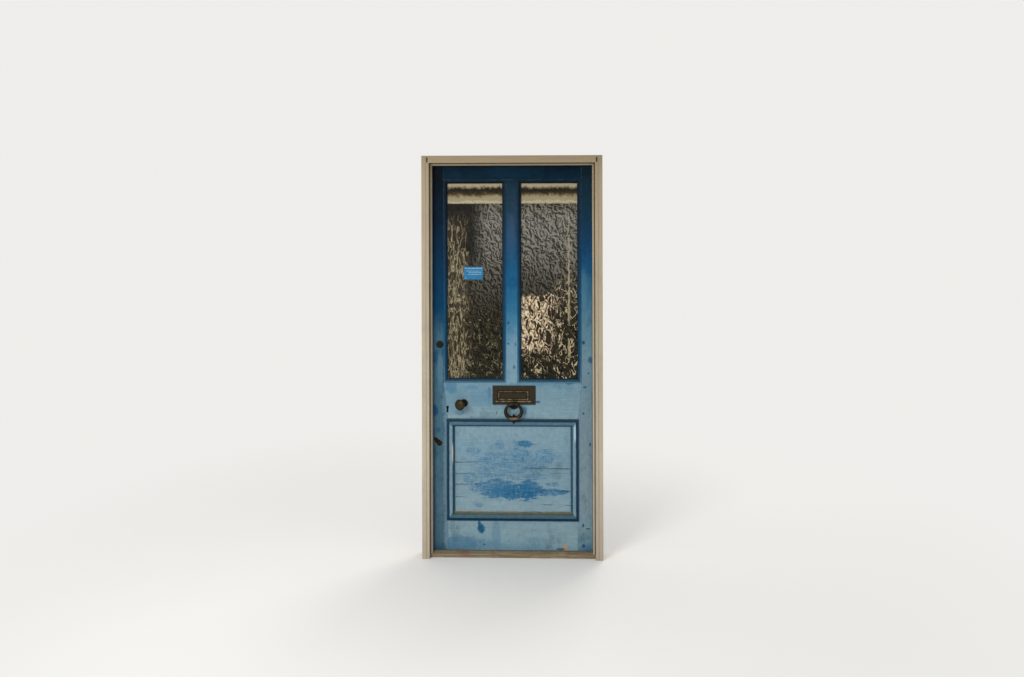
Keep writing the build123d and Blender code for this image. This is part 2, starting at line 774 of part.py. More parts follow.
sides = ("left", "right", "bottom", "top")
panel_opening = (-lower_x, lower_x, bottom_top, lock_bottom)
bolection_opening = (-lower_x - bolection_lap, lower_x + bolection_lap,
                     bottom_top - bolection_lap, lock_bottom + bolection_lap)
for side in sides:
    save(mitred_strip(side, bolection_opening, bolection_width, bolection_section),
         f"panel_moulding_{side}")

save(Compound(children=[mitred_strip(side, panel_opening, inner_moulding_width, inner_moulding_section)
                        for side in sides]), "panel_inner_mouldings")

pane_openings = {
    "left": (-upper_x, muntin_left, lock_top, top_bottom),
    "right": (muntin_right, upper_x, lock_top, top_bottom),
}
for pane, (x0, x1, z0, z1) in pane_openings.items():
    opening = (x0, x1, z0, z1)
    save(Compound(children=[mitred_strip(side, opening, glazing_moulding_width, glazing_moulding_section)
                            for side in sides]), f"glazing_mouldings_{pane}")
    save(Compound(children=[mitred_strip(side, opening, glazing_bead_width, glazing_bead_section)
                            for side in sides]), f"glazing_beads_{pane}")
    with BuildPart() as glass_pane:
        block((x0 + glass_edge_gap, x1 - glass_edge_gap), (glass_front, glass_back),
              (z0 + glass_edge_gap, z1 - glass_edge_gap))
    save(glass_pane.part, f"glass_{pane}")


# Hinges: two flaps let into the leaf's edge and the rebate, turning on a loose pin

knuckle_length = (hinge_height - (hinge_knuckles - 1) * hinge_knuckle_gap) / hinge_knuckles


def knuckle_span(level, index):
    low = level - hinge_height / 2 + index * (knuckle_length + hinge_knuckle_gap)
    return low, low + knuckle_length


def upright(x, y, radius, z_span, mode=Mode.ADD):
    """A round bar, or a hole, along Z."""
    with Locations((x, y, (z_span[0] + z_span[1]) / 2)):
        Cylinder(radius, z_span[1] - z_span[0], mode=mode)


def hinge_flap(level, x_face, inwards, own_knuckles):
    """One flap with its knuckles. inwards is the way into the timber along X."""
    with BuildPart() as flap:
        block((x_face, x_face + inwards * hinge_flap_thickness), (frame_back - hinge_flap_inset, hinge_y),
              (level - hinge_height / 2, level + hinge_height / 2))
        for index in range(hinge_knuckles):
            if index not in own_knuckles:
                low, high = knuckle_span(level, index)
                upright(hinge_x, hinge_y, hinge_knuckle_radius + hinge_swing_clearance,
                        (low - hinge_knuckle_gap, high + hinge_knuckle_gap), mode=Mode.SUBTRACT)
        for index in own_knuckles:
            upright(hinge_x, hinge_y, hinge_knuckle_radius, knuckle_span(level, index))
        upright(hinge_x, hinge_y, hinge_pin_radius + hinge_pin_clearance,
                (level - hinge_height / 2, level + hinge_height / 2), mode=Mode.SUBTRACT)
        for y, z in screw_places(level):
            with Locations(Plane(origin=(x_face, y, z), z_dir=(-inwards, 0, 0))):
                CounterSinkHole(screw_shank_radius + screw_clearance, screw_head_radius + screw_clearance,
                                depth=hinge_flap_thickness, counter_sink_angle=90)
    return flap.part


def hinge_screws(x_face, inwards):
    """The countersunk screws of all flaps on one side."""
    screws = []
    for level in hinge_levels.values():
        for y, z in screw_places(level):
            with BuildPart() as screw:
                with BuildSketch(Plane(origin=(x_face, y, z), x_dir=(0, 1, 0), z_dir=(0, 0, 1))):
                    outline((0, 0), (screw_head_radius, 0),
                            (screw_shank_radius, inwards * -screw_head_height),
                            (screw_shank_radius, inwards * -(screw_length - screw_tip_length)),
                            (0, inwards * -screw_length))
                revolve(axis=Axis((x_face, y, z), (1, 0, 0)))
            screws.append(screw.part)
    return screws


for name, level in hinge_levels.items():
    save(hinge_flap(level, rebate_x, 1, (0, 2, 4)), f"hinge_{name}_frame_flap")
    save(hinge_flap(level, leaf_x, -1, (1, 3)), f"hinge_{name}_leaf_flap")
    with BuildPart() as hinge_pin:
        upright(hinge_x, hinge_y, hinge_pin_radius, (level - hinge_height / 2, level + hinge_height / 2))
        for low in (level - hinge_height / 2 - hinge_pin_head_height, level + hinge_height / 2):
            upright(hinge_x, hinge_y, hinge_pin_head_radius, (low, low + hinge_pin_head_height))
    save(hinge_pin.part, f"hinge_{name}_pin")

save(Compound(children=hinge_screws(rebate_x, 1)), "hinge_frame_screws")
save(Compound(children=hinge_screws(leaf_x, -1)), "hinge_leaf_screws")


# Letter plate: a bevelled cast plate, its lip in front of the flap and two lugs behind for the pin

with BuildPart() as letter_plate:
    block((letter_x - letter_plate_width / 2, letter_x + letter_plate_width / 2),
          (letter_front, leaf_front), (letter_z - letter_plate_height / 2, letter_z + letter_plate_height / 2))
    chamfer(letter_plate.faces().sort_by(Axis.Y)[0].edges(), letter_plate_bevel)
    for side in (-1, 1):
        block((flap_x + side * flap_room_x, flap_x + side * letter_lug_x),
              (leaf_front, flap_pivot_y + letter_lug_reach),
              (flap_pivot_z - letter_lug_half_height, flap_pivot_z + letter_lug_half_height))
    block((flap_x - flap_room_x + letter_lip_width, flap_x + flap_room_x - letter_lip_width),
          (letter_front, leaf_front),
          (flap_z - flap_room_z + letter_lip_width, flap_z + flap_room_z - letter_lip_width),
          mode=Mode.SUBTRACT)
    block((flap_x - flap_room_x, flap_x + flap_room_x), (letter_front + letter_lip_thickness, leaf_front),
          (flap_z - flap_room_z, flap_z + flap_room_z), mode=Mode.SUBTRACT)
    cross_bar((flap_x - letter_lug_x, flap_x + letter_lug_x), flap_pivot_y, flap_pivot_z,
              letter_pin_radius + letter_pin_clearance, mode=Mode.SUBTRACT)
save(letter_plate.part, "letter_plate")

with BuildPart() as letter_flap:
    block((flap_x - letter_flap_width / 2, flap_x + letter_flap_width / 2), (flap_front, flap_back),
          (flap_z - letter_flap_height / 2, flap_pivot_z))
    cross_bar((flap_x - letter_flap_width / 2, flap_x + letter_flap_width / 2),
              flap_pivot_y, flap_pivot_z, letter_barrel_radius)
    field_x = letter_flap_width / 2 - letter_flap_border
    field_z = letter_flap_height / 2 - letter_flap_border
    scallop = field_z * 0.5
    with BuildSketch(facing_outside(flap_front)):
        with Locations((flap_x, flap_z - letter_field_drop)):
            Rectangle(2 * field_x, 2 * field_z)
            Rectangle(2 * (field_x - letter_rim_width), 2 * (field_z - letter_rim_width), mode=Mode.SUBTRACT)
        with Locations((flap_x, flap_z - letter_field_drop)):
            Rectangle(2 * (field_x - scallop), 2 * (field_z - letter_field_gap))
        with Locations((flap_x - field_x + scallop, flap_z - letter_field_drop),
                       (flap_x + field_x - scallop, flap_z - letter_field_drop)):
            Circle(scallop)
    extrude(amount=letter_flap_field_height)
    cross_bar((flap_x - letter_flap_width / 2, flap_x + letter_flap_width / 2),
              flap_pivot_y, flap_pivot_z, letter_pin_radius + letter_pin_clearance, mode=Mode.SUBTRACT)
save(letter_flap.part, "letter_flap")

with BuildPart() as letter_flap_pin:
    cross_bar((flap_x - letter_lug_x, flap_x + letter_lug_x), flap_pivot_y, flap_pivot_z, letter_pin_radius)
save(letter_flap_pin.part, "letter_flap_pin")

letter_bolts = []
for side in (-1, 1):
    bolt_x = letter_x + side * letter_bolt_spread / 2
    with BuildPart() as letter_bolt:
        rod(bolt_x, letter_z, letter_bolt_radius, leaf_front, leaf_back + letter_nut_height)
        with BuildSketch(facing_outside(leaf_back + letter_nut_height)):
            with Locations((bolt_x, letter_z)):
                RegularPolygon(letter_nut_radius, 6)
        extrude(amount=letter_nut_height)
    letter_bolts.append(letter_bolt.part)
save(Compound(children=letter_bolts), "letter_plate_bolts")


# Knocker: a shield-shaped boss with a forward eye, a ring that swells to the bottom, and a lozenge strike

with BuildPart() as knocker_boss:
    boss_top = letter_z - letter_plate_height / 2 - boss_plate_gap
    boss_low = boss_top - boss_height
    with BuildSketch(facing_outside(leaf_front)):
        with BuildLine():
            Polyline((knocker_x - boss_width / 2, boss_top - boss_shoulder), (knocker_x - boss_width / 2, boss_top),
                     (knocker_x + boss_width / 2, boss_top), (knocker_x + boss_width / 2, boss_top - boss_shoulder))
            ThreePointArc((knocker_x + boss_width / 2, boss_top - boss_shoulder),
                          (knocker_x + 0.27 * boss_width, boss_low + 7.0), (knocker_x, boss_low))
            ThreePointArc((knocker_x, boss_low), (knocker_x - 0.27 * boss_width, boss_low + 7.0),
                          (knocker_x - boss_width / 2, boss_top - boss_shoulder))
        make_face()
    extrude(amount=boss_thickness)
    chamfer(knocker_boss.faces().sort_by(Axis.Y)[0].edges(), boss_chamfer)
    face_y = leaf_front - boss_thickness
    with BuildSketch(Plane.YZ.offset(knocker_x - lug_width / 2)):
        outline((face_y + 2.0, boss_low + 8.0), (face_y - 5.0, boss_low + 9.0),
                (knocker_y - 0.6 * lug_eye_radius, knocker_z - 0.6 * lug_eye_radius),
                (knocker_y + 0.8 * lug_eye_radius, knocker_z + 0.5 * lug_eye_radius),
                (letter_front - 0.5, boss_top + 1.0), (letter_front - 0.5, boss_top), (face_y + 2.0, boss_top))
        with Locations((knocker_y, knocker_z)):
            Circle(lug_eye_radius)
    extrude(amount=lug_width)
    cross_bar((knocker_x - lug_width / 2, knocker_x + lug_width / 2), knocker_y, knocker_z,
              lug_hole_radius, mode=Mode.SUBTRACT)
save(knocker_boss.part, "knocker_boss")


def ring_section(turn):
    """Plane and radius of the oval ring's round section, at an angle down from the top."""
    share = (1 - math.cos(math.radians(turn))) / 2
    radius = ring_top_radius + (ring_bottom_radius - ring_top_radius) * share ** ring_taper
    reach_x, reach_z = ring_half_width - radius, ring_half_height - radius
    sine, cosine = math.sin(math.radians(turn)), math.cos(math.radians(turn))
    origin = (knocker_x + reach_x * sine, knocker_y, ring_z + reach_z * cosine)
    return Plane(origin=origin, x_dir=(reach_z * sine, 0, reach_x * cosine),
                 z_dir=(reach_x * cosine, 0, -reach_z * sine)), radius


with BuildPart() as knocker_ring:
    for turn in range(0, 181, 20):
        section_plane, radius = ring_section(turn)
        with BuildSketch(section_plane):
            Circle(radius)
    loft()
    mirror(about=Plane.YZ.offset(knocker_x))
save(knocker_ring.part, "knocker_ring")

with BuildPart() as knocker_strike:
    with BuildSketch(facing_outside(strike_front + strike_thickness)):
        outline((knocker_x, strike_z - strike_height / 2), (knocker_x + strike_width / 2, strike_z),
                (knocker_x, strike_z + strike_height / 2), (knocker_x - strike_width / 2, strike_z))
    extrude(amount=strike_thickness)
    chamfer(knocker_strike.faces().sort_by(Axis.Y)[0].edges(), boss_chamfer)
    stem_z = lock_bottom + bolection_lap + strike_stem_radius + 3.0
    rod(knocker_x, stem_z, strike_stem_radius, strike_front + strike_thickness / 2, leaf_front)
save(knocker_strike.part, "knocker_strike")


# Knobs: a rose, a bent outside knob, a straight inside knob, and the square spindle between them

with BuildPart() as knob_rose:
    rod(spindle_x, spindle_z, rose_radius, rose_front, leaf_front)
    fillet(knob_rose.faces().sort_by(Axis.Y)[0].edges(), rose_round)
    rod(spindle_x, spindle_z, knob_shank_radius + knob_shank_clearance, rose_front, leaf_front,
        mode=Mode.SUBTRACT)
save(knob_rose.part, "knob_rose")


def knob_head(root, direction):
    """A round door knob on a waisted neck, turned about its own axis from the root outwards."""
    turning = Plane(origin=root, x_dir=direction, z_dir=(0, 0, 1))
    face = knob_neck_length + knob_length
    waist = 0.52 * knob_radius
    rim = knob_radius - knob_rim_round
    rim_start = knob_neck_length + 0.34 * knob_length
    rim_end = knob_neck_length + 0.58 * knob_length
    with BuildSketch(turning) as half_section:
        with BuildLine():
            Polyline((face, 0), (0, 0), (0, knob_shank_radius))
            Spline((0, knob_shank_radius), (0.6 * knob_neck_length, 0.9 * knob_shank_radius),
                   (knob_neck_length, waist), (rim_start, rim))
            ThreePointArc((rim_start, rim), ((rim_start + rim_end) / 2, knob_radius), (rim_end, rim))
            Spline((rim_end, rim), (knob_neck_length + 0.84 * knob_length, 0.78 * knob_radius),
                   (face - 1.0, 0.4 * knob_radius), (face, 0))
        make_face()
    revolve(half_section.sketch, axis=Axis(root, direction))
    with Locations(root):
        Sphere(knob_shank_radius + knob_collar_rise)


with BuildPart() as outer_knob:
    bend = math.radians(knob_tilt)
    knob_head((spindle_x, knob_root_y, spindle_z), (-math.sin(bend), -math.cos(bend), 0))
    rod(spindle_x, spindle_z, knob_shank_radius, knob_root_y, leaf_front)
    block((spindle_x - spindle_side / 2, spindle_x + spindle_side / 2), (rose_front, leaf_front),
          (spindle_z - spindle_side / 2, spindle_z + spindle_side / 2), mode=Mode.SUBTRACT)
save(outer_knob.part, "outer_knob")

inner_root_y = rim_lock_back + knob_collar_stand_off
with BuildPart() as inner_knob:
    knob_head((spindle_x, inner_root_y, spindle_z), (0, 1, 0))
    rod(spindle_x, spindle_z, knob_shank_radius, rim_lock_back - knob_seat_depth, inner_root_y)
    block((spindle_x - spindle_side / 2, spindle_x + spindle_side / 2), (rim_lock_back - knob_seat_depth, rim_lock_back),
          (spindle_z - spindle_side / 2, spindle_z + spindle_side / 2), mode=Mode.SUBTRACT)
save(inner_knob.part, "inner_knob")

with BuildPart() as knob_spindle:
    block((spindle_x - spindle_side / 2, spindle_x + spindle_side / 2), (rose_front, rim_lock_back),
          (spindle_z - spindle_side / 2, spindle_z + spindle_side / 2))
save(knob_spindle.part, "knob_spindle")


# Rim lock on the inside face: a box with a latch bolt and a dead bolt, and a box keep on the frame

def bolt_channel(length, y_span, z, height):
    """The room that a bolt slides in, open at the leaf's edge."""
    spare = bolt_clearance
    block((-leaf_x, -leaf_x + length + spare), (y_span[0] - spare, y_span[1] + spare),
          (z - height / 2 - spare, z + height / 2 + spare), mode=Mode.SUBTRACT)


def rim_case(length, height, z, depth):
    """A lock case on the inside face, with softened edges."""
    block((-leaf_x, -leaf_x + length), (leaf_back, leaf_back + depth), (z - height / 2, z + height / 2))


with BuildPart() as rim_lock_case:
    rim_case(rim_lock_length, rim_lock_height, rim_lock_z, rim_lock_depth)
    chamfer(rim_lock_case.faces().sort_by(Axis.Y)[-1].edges(), case_chamfer)
    bolt_channel(latch_bolt_length, rim_bolt_y, latch_z, latch_bolt_height)
    bolt_channel(dead_bolt_length, rim_bolt_y, dead_z, dead_bolt_height)
    rod(spindle_x, spindle_z, knob_shank_radius + knob_shank_clearance, leaf_back, rim_lock_back,
        mode=Mode.SUBTRACT)
    rim_keyhole(leaf_back, leaf_back + keyhole_depth_in_case)
    rim_keyhole(rim_lock_back - keyhole_depth_in_case, rim_lock_back)
save(rim_lock_case.part, "rim_lock_case")

with BuildPart() as rim_latch_bolt:
    block((-leaf_x, -leaf_x + latch_bolt_length), rim_bolt_y,
          (latch_z - latch_bolt_height / 2, latch_z + latch_bolt_height / 2))
    nose = rim_latch_bolt.edges().filter_by(Axis.Z).sort_by(Axis.X)[:2].sort_by(Axis.Y)[0]
    chamfer(nose, latch_nose_chamfer)
save(rim_latch_bolt.part, "rim_latch_bolt")

with BuildPart() as rim_dead_bolt:
    block((-leaf_x, -leaf_x + dead_bolt_length), rim_bolt_y,
          (dead_z - dead_bolt_height / 2, dead_z + dead_bolt_height / 2))
save(rim_dead_bolt.part, "rim_dead_bolt")


def keep_block(z, height, depth, bolts):
    """A box keep on the frame's inside face, with a pocket for each bolt."""
    with BuildPart() as keep:
        block((keep_x, keep_x - keep_width), (frame_back, leaf_back + depth), (z - height / 2, z + height / 2))
        chamfer(keep.faces().sort_by(Axis.Y)[-1].edges(), case_chamfer)
        for y_span, bolt_z, bolt_height in bolts:
            bolt_pocket(keep_x, bolt_travel_space, y_span, bolt_z, bolt_height)
    return keep.part


save(keep_block(rim_lock_z, rim_lock_height, rim_lock_depth,
                [(rim_bolt_y, latch_z, latch_bolt_height), (rim_bolt_y, dead_z, dead_bolt_height)]),
     "rim_lock_keep")


# Night latch: a rim cylinder through the stile, a case inside with a snibbed bolt, and its keep

night_bolt_y = (leaf_back + bolt_set_in, leaf_back + bolt_set_in + bolt_thickness)
plug_back = leaf_back - plug_set_in
cylinder_front = leaf_front - cylinder_ring_height

with BuildPart() as night_latch_cylinder:
    rod(night_x, night_z, cylinder_ring_radius, cylinder_front, leaf_front)
    fillet(night_latch_cylinder.faces().sort_by(Axis.Y)[0].edges(), cylinder_ring_round)
    rod(night_x, night_z, cylinder_body_radius, cylinder_front + 1.0, leaf_back)
    rod(night_x, night_z, plug_radius + plug_clearance, cylinder_front, plug_back, mode=Mode.SUBTRACT)
save(night_latch_cylinder.part, "night_latch_cylinder")

with BuildPart() as night_latch_plug:
    rod(night_x, night_z, plug_radius, cylinder_front - plug_proud, plug_back)
    block((night_x - plug_keyway_width / 2, night_x + plug_keyway_width / 2),
          (cylinder_front - plug_proud, cylinder_front - plug_proud + plug_keyway_depth),
          (night_z - plug_keyway_height / 2, night_z + plug_keyway_height / 2), mode=Mode.SUBTRACT)
save(night_latch_plug.part, "night_latch_plug")

with BuildPart() as night_latch_case:
    rim_case(night_case_length, night_case_height, night_z, night_case_depth)
    chamfer(night_latch_case.faces().sort_by(Axis.Y)[-1].edges(), night_case_chamfer)
    bolt_channel(night_bolt_length, night_bolt_y, night_z, night_bolt_height)
    rod(night_turn_x, night_z, night_turn_shank_radius + night_turn_shank_clearance,
        night_case_back - night_turn_shank_length, night_case_back, mode=Mode.SUBTRACT)
save(night_latch_case.part, "night_latch_case")

with BuildPart() as night_latch_bolt:
    block((-leaf_x, -leaf_x + night_bolt_length), night_bolt_y,
          (night_z - night_bolt_height / 2, night_z + night_bolt_height / 2))
    nose = night_latch_bolt.edges().filter_by(Axis.Z).sort_by(Axis.X)[:2].sort_by(Axis.Y)[0]
    chamfer(nose, latch_nose_chamfer)
save(night_latch_bolt.part, "night_latch_bolt")

with BuildPart() as night_latch_turn:
    rod(night_turn_x, night_z, night_turn_shank_radius, night_case_back - night_turn_shank_length,
        night_case_back + 2 * night_turn_stand_off)
    with BuildSketch(facing_outside(night_case_back + night_turn_stand_off + night_turn_length)):
        with Locations((night_turn_x, night_z)):
            Ellipse(night_turn_radius, 0.6 * night_turn_radius)
    extrude(amount=night_turn_length)
    fillet(night_latch_turn.faces().sort_by(Axis.Y)[-1].edges(), night_turn_round)
save(night_latch_turn.part, "night_latch_turn")

save(keep_block(night_z, night_case_height, night_case_depth,
                [(night_bolt_y, night_z, night_bolt_height)]), "night_latch_keep")


# Deadlock in the stile, its strike in the rebate, and the rusty cover that swings over the keyhole

with BuildPart() as deadlock_case:
    block((-leaf_x, -leaf_x + deadlock_case_depth),
          (leaf_middle - deadlock_case_thickness / 2, leaf_middle + deadlock_case_thickness / 2),
          (deadlock_z - deadlock_case_height / 2, deadlock_z + deadlock_case_height / 2))
    block((-leaf_x, -leaf_x + deadlock_face_thickness),
          (leaf_middle - deadlock_face_width / 2, leaf_middle + deadlock_face_width / 2),
          (deadlock_z - deadlock_face_height / 2, deadlock_z + deadlock_face_height / 2))
    bolt_channel(deadlock_bolt_length, deadlock_bolt_y, deadlock_z, deadlock_bolt_height)
    deadlock_keyhole(leaf_front, leaf_back)
save(deadlock_case.part, "deadlock_case")

with BuildPart() as deadlock_bolt:
    block((-leaf_x, -leaf_x + deadlock_bolt_length), deadlock_bolt_y,
          (deadlock_z - deadlock_bolt_height / 2, deadlock_z + deadlock_bolt_height / 2))
save(deadlock_bolt.part, "deadlock_bolt")

with BuildPart() as deadlock_strike:
    block((-rebate_x, -rebate_x - strike_plate_thickness),
          (leaf_middle - strike_plate_width / 2, leaf_middle + strike_plate_width / 2),
          (deadlock_z - strike_plate_height / 2, deadlock_z + strike_plate_height / 2))
    bolt_pocket(-rebate_x, strike_plate_thickness, deadlock_bolt_y, deadlock_z, deadlock_bolt_height)
save(deadlock_strike.part, "deadlock_strike")

with BuildPart() as keyhole_cover:
    with BuildSketch(facing_outside(cover_back)):
        with Locations(cover_pivot):
            Circle(cover_pivot_radius)
        with Locations((deadlock_key_x, deadlock_key_z)):
            Circle(cover_disc_radius)
        make_hull()
    extrude(amount=cover_thickness)
    chamfer(keyhole_cover.faces().sort_by(Axis.Y)[0].edges(), cover_chamfer)
    rod(*cover_pivot, rivet_radius + rivet_clearance, cover_front, cover_back, mode=Mode.SUBTRACT)
save(keyhole_cover.part, "keyhole_cover")

with BuildPart() as keyhole_cover_rivet:
    rod(*cover_pivot, rivet_radius, cover_front - rivet_play, leaf_front + rivet_length)
    rod(*cover_pivot, rivet_head_radius, cover_front - rivet_play - rivet_head_height, cover_front - rivet_play)
    fillet(keyhole_cover_rivet.faces().sort_by(Axis.Y)[0].edges(), rivet_round)
save(keyhole_cover_rivet.part, "keyhole_cover_rivet")
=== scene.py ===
import math

import bpy
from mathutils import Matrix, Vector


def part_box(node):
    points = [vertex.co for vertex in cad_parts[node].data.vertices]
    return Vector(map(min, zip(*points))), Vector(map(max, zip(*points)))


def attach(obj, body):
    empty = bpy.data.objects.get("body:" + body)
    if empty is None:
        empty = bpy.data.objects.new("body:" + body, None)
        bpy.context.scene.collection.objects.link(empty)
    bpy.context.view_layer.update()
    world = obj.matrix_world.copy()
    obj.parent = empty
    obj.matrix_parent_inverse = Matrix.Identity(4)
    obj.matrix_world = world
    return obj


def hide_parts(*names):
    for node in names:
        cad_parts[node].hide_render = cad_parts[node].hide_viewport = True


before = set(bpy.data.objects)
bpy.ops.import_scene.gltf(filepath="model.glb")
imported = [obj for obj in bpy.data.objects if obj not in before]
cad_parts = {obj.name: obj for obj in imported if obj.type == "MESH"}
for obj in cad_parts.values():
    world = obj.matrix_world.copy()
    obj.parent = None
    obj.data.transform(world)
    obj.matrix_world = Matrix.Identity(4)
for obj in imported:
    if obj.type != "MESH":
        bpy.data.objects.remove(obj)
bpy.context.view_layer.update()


# The frame: softwood jambs and a head with planted stops, brushed with cream paint many times over.
# The paint is greyer near the top, and darker there with painted shade from above. Dirt and painted shade
# darken the quirk of the beaded stop, and a line of painted shade runs up the front of each jamb.

def shade(red, green, blue):
    """A colour as an eye reads it, 0 to 255, in the linear numbers that a shader takes."""
    parts = [v / 255 for v in (red, green, blue)]
    return [v / 12.92 if v <= 0.04045 else ((v + 0.055) / 1.055) ** 2.4 for v in parts] + [1.0]


def put(tree, kind, feeds=None, **settings):
    """Adds one node. feeds maps an input to a socket that feeds it or to a plain value."""
    node = tree.nodes.new(kind)
    for key, value in settings.items():
        setattr(node, key, value)
    for key, value in (feeds or {}).items():
        if isinstance(value, bpy.types.NodeSocket):
            tree.links.new(value, node.inputs[key])
        else:
            node.inputs[key].default_value = value
    return node


def calc(tree, operation, first, second=0.0):
    """One sum on two numbers or sockets."""
    return put(tree, "ShaderNodeMath", {0: first, 1: second}, operation=operation).outputs[0]


def times(tree, first, second):
    """Two numbers or sockets multiplied."""
    return calc(tree, "MULTIPLY", first, second)


def plus(tree, first, second):
    """Two numbers or sockets added."""
    return calc(tree, "ADD", first, second)


def minus(tree, first, second):
    """The second number or socket taken from the first."""
    return calc(tree, "SUBTRACT", first, second)


def gap_to(tree, value, middle):
    """How far a value lies from a middle one, to either side."""
    return calc(tree, "ABSOLUTE", minus(tree, value, middle))


def blend(tree, amount, under, over, way="MIX"):
    """Lays one colour over another."""
    node = put(tree, "ShaderNodeMix", {0: amount, 6: under, 7: over}, data_type="RGBA", blend_type=way)
    return node.outputs[2]


def tinted(tree, colour, mask, strength, tone):
    """A colour with a tone laid over it where a mask says, at some strength."""
    return blend(tree, times(tree, mask, strength), colour, shade(*tone))


def spread(tree, value, low, high, to_low=0.0, to_high=1.0):
    """Stretches a range of a value, softly, to another range."""
    feeds = {"Value": value, "From Min": low, "From Max": high, "To Min": to_low, "To Max": to_high}
    return put(tree, "ShaderNodeMapRange", feeds, interpolation_type="SMOOTHSTEP").outputs[0]


def between(tree, value, low, high, soft):
    """1 between two values and 0 outside them, with a soft change round each."""
    rises = spread(tree, value, low - soft, low + soft)
    return times(tree, rises, spread(tree, value, high + soft, high - soft))


def object_place(tree):
    """Object coordinates."""
    return put(tree, "ShaderNodeTexCoord").outputs["Object"]


def places(tree):
    """Object coordinates, whole and axis by axis."""
    place = object_place(tree)
    return place, put(tree, "ShaderNodeSeparateXYZ", {0: place}).outputs


def cloud(tree, place, scale, detail=3.0, roughness=0.55, distortion=0.0):
    """Smooth noise from 0 to 1."""
    feeds = {"Vector": place, "Scale": scale, "Detail": detail, "Roughness": roughness,
             "Distortion": distortion}
    return put(tree, "ShaderNodeTexNoise", feeds).outputs[0]


def stretched(tree, place, factors):
    """Places scaled by a factor along each axis, so that noise runs along the smallest."""
    return put(tree, "ShaderNodeVectorMath", {0: place, 1: factors}, operation="MULTIPLY").outputs[0]


TONES_TOP = 2.1


def tones_by_height(tree, height, tones):
    """Colours set one above another, given as pairs of height in metres and colour."""
    ramp = put(tree, "ShaderNodeValToRGB", {0: calc(tree, "DIVIDE", height, TONES_TOP)})
    stops = ramp.color_ramp.elements
    while len(stops) < len(tones):
        stops.new(0.5)
    for stop, (level, colour) in zip(stops, sorted(tones)):
        stop.position = level / TONES_TOP
        stop.color = shade(*colour)
    return ramp.outputs[0]


def new_group(name, inputs, outputs):
    """An empty shader group with its named inputs, each with a kind and a first value, and outputs."""
    group = bpy.data.node_groups.new(name, "ShaderNodeTree")
    for label, (kind, value) in inputs.items():
        group.interface.new_socket(label, in_out="INPUT", socket_type=kind).default_value = value
    for label, kind in outputs.items():
        group.interface.new_socket(label, in_out="OUTPUT", socket_type=kind)
    return group, put(group, "NodeGroupInput").outputs, put(group, "NodeGroupOutput").inputs


def from_group(tree, group, output, **values):
    """Places a shader group with its values, and gives one of its outputs."""
    feeds = {label.replace("_", " "): value for label, value in values.items()}
    return put(tree, "ShaderNodeGroup", feeds, node_tree=group).outputs[output]


FLOAT, VECTOR = "NodeSocketFloat", "NodeSocketVector"

# Brush marks and grain: fine lines that run the long way of a timber
brush_lines, given, out = new_group("brush_lines", {"Run": (VECTOR, (1.0, 1.0, 1.0))},
                                    {"Lines": FLOAT, "Grain": FLOAT})
place = object_place(brush_lines)
along = stretched(brush_lines, place, given["Run"])
brush_lines.links.new(cloud(brush_lines, along, 1.0, 5.0, 0.65), out["Lines"])
brush_lines.links.new(cloud(brush_lines, along, 2.7, 4.0, 0.7, 0.6), out["Grain"])

# An arris: where two faces meet and a hand or the weather rubs the paint thin, and where bronze gets a
# painted highlight
worn_and_highlit_arris, given, out = new_group("worn_and_highlit_arris", {"Width": (FLOAT, 0.002), "Patchiness": (FLOAT, 60.0)},
                                   {"Mask": FLOAT})
round_normal = put(worn_and_highlit_arris, "ShaderNodeBevel", {"Radius": given["Width"]}, samples=6).outputs[0]
flat_normal = put(worn_and_highlit_arris, "ShaderNodeNewGeometry").outputs["True Normal"]
turn = put(worn_and_highlit_arris, "ShaderNodeVectorMath", {0: round_normal, 1: flat_normal}, operation="DOT_PRODUCT")
edge = spread(worn_and_highlit_arris, turn.outputs["Value"], 0.99, 0.80)
place = object_place(worn_and_highlit_arris)
patches = spread(worn_and_highlit_arris, cloud(worn_and_highlit_arris, place, given["Patchiness"], 4.0, 0.7), 0.42, 0.62)
worn_and_highlit_arris.links.new(times(worn_and_highlit_arris, edge, patches), out["Mask"])

# Dirt and painted shade where surfaces close in on each other, from ambient occlusion
corner_dirt_and_shade, given, out = new_group("corner_dirt_and_shade", {"Reach": (FLOAT, 0.01), "Patchiness": (FLOAT, 25.0)},
                                    {"Mask": FLOAT})
open_sky = put(corner_dirt_and_shade, "ShaderNodeAmbientOcclusion", {"Distance": given["Reach"]}, samples=8)
place = object_place(corner_dirt_and_shade)
uneven = spread(corner_dirt_and_shade, cloud(corner_dirt_and_shade, place, given["Patchiness"]), 0.25, 0.75, 0.55, 1.0)
closed = spread(corner_dirt_and_shade, open_sky.outputs["AO"], 0.85, 0.45)
corner_dirt_and_shade.links.new(times(corner_dirt_and_shade, closed, uneven), out["Mask"])

# A stain or a patch of its own place and size, with a ragged edge
stain, given, out = new_group("stain", {
    "Centre": (VECTOR, (0.0, 0.0, 0.0)), "Reach": (VECTOR, (1.0, 1.0, 1.0)),
    "Run": (VECTOR, (60.0, 60.0, 60.0)), "Raggedness": (FLOAT, 0.8), "Softness": (FLOAT, 0.3)},
    {"Mask": FLOAT})
place = object_place(stain)
offset = put(stain, "ShaderNodeVectorMath", {0: place, 1: given["Centre"]}, operation="SUBTRACT").outputs[0]
shares = put(stain, "ShaderNodeVectorMath", {0: offset, 1: given["Reach"]}, operation="DIVIDE").outputs[0]
distance = put(stain, "ShaderNodeVectorMath", {0: shares}, operation="LENGTH").outputs["Value"]
ragged = minus(stain, cloud(stain, stretched(stain, place, given["Run"]), 1.0, 5.0, 0.65), 0.5)
distance = plus(stain, distance, times(stain, ragged, given["Raggedness"]))
inner = minus(stain, 1.0, given["Softness"])
outer = plus(stain, 1.0, given["Softness"])
stain.links.new(spread(stain, distance, outer, inner), out["Mask"])


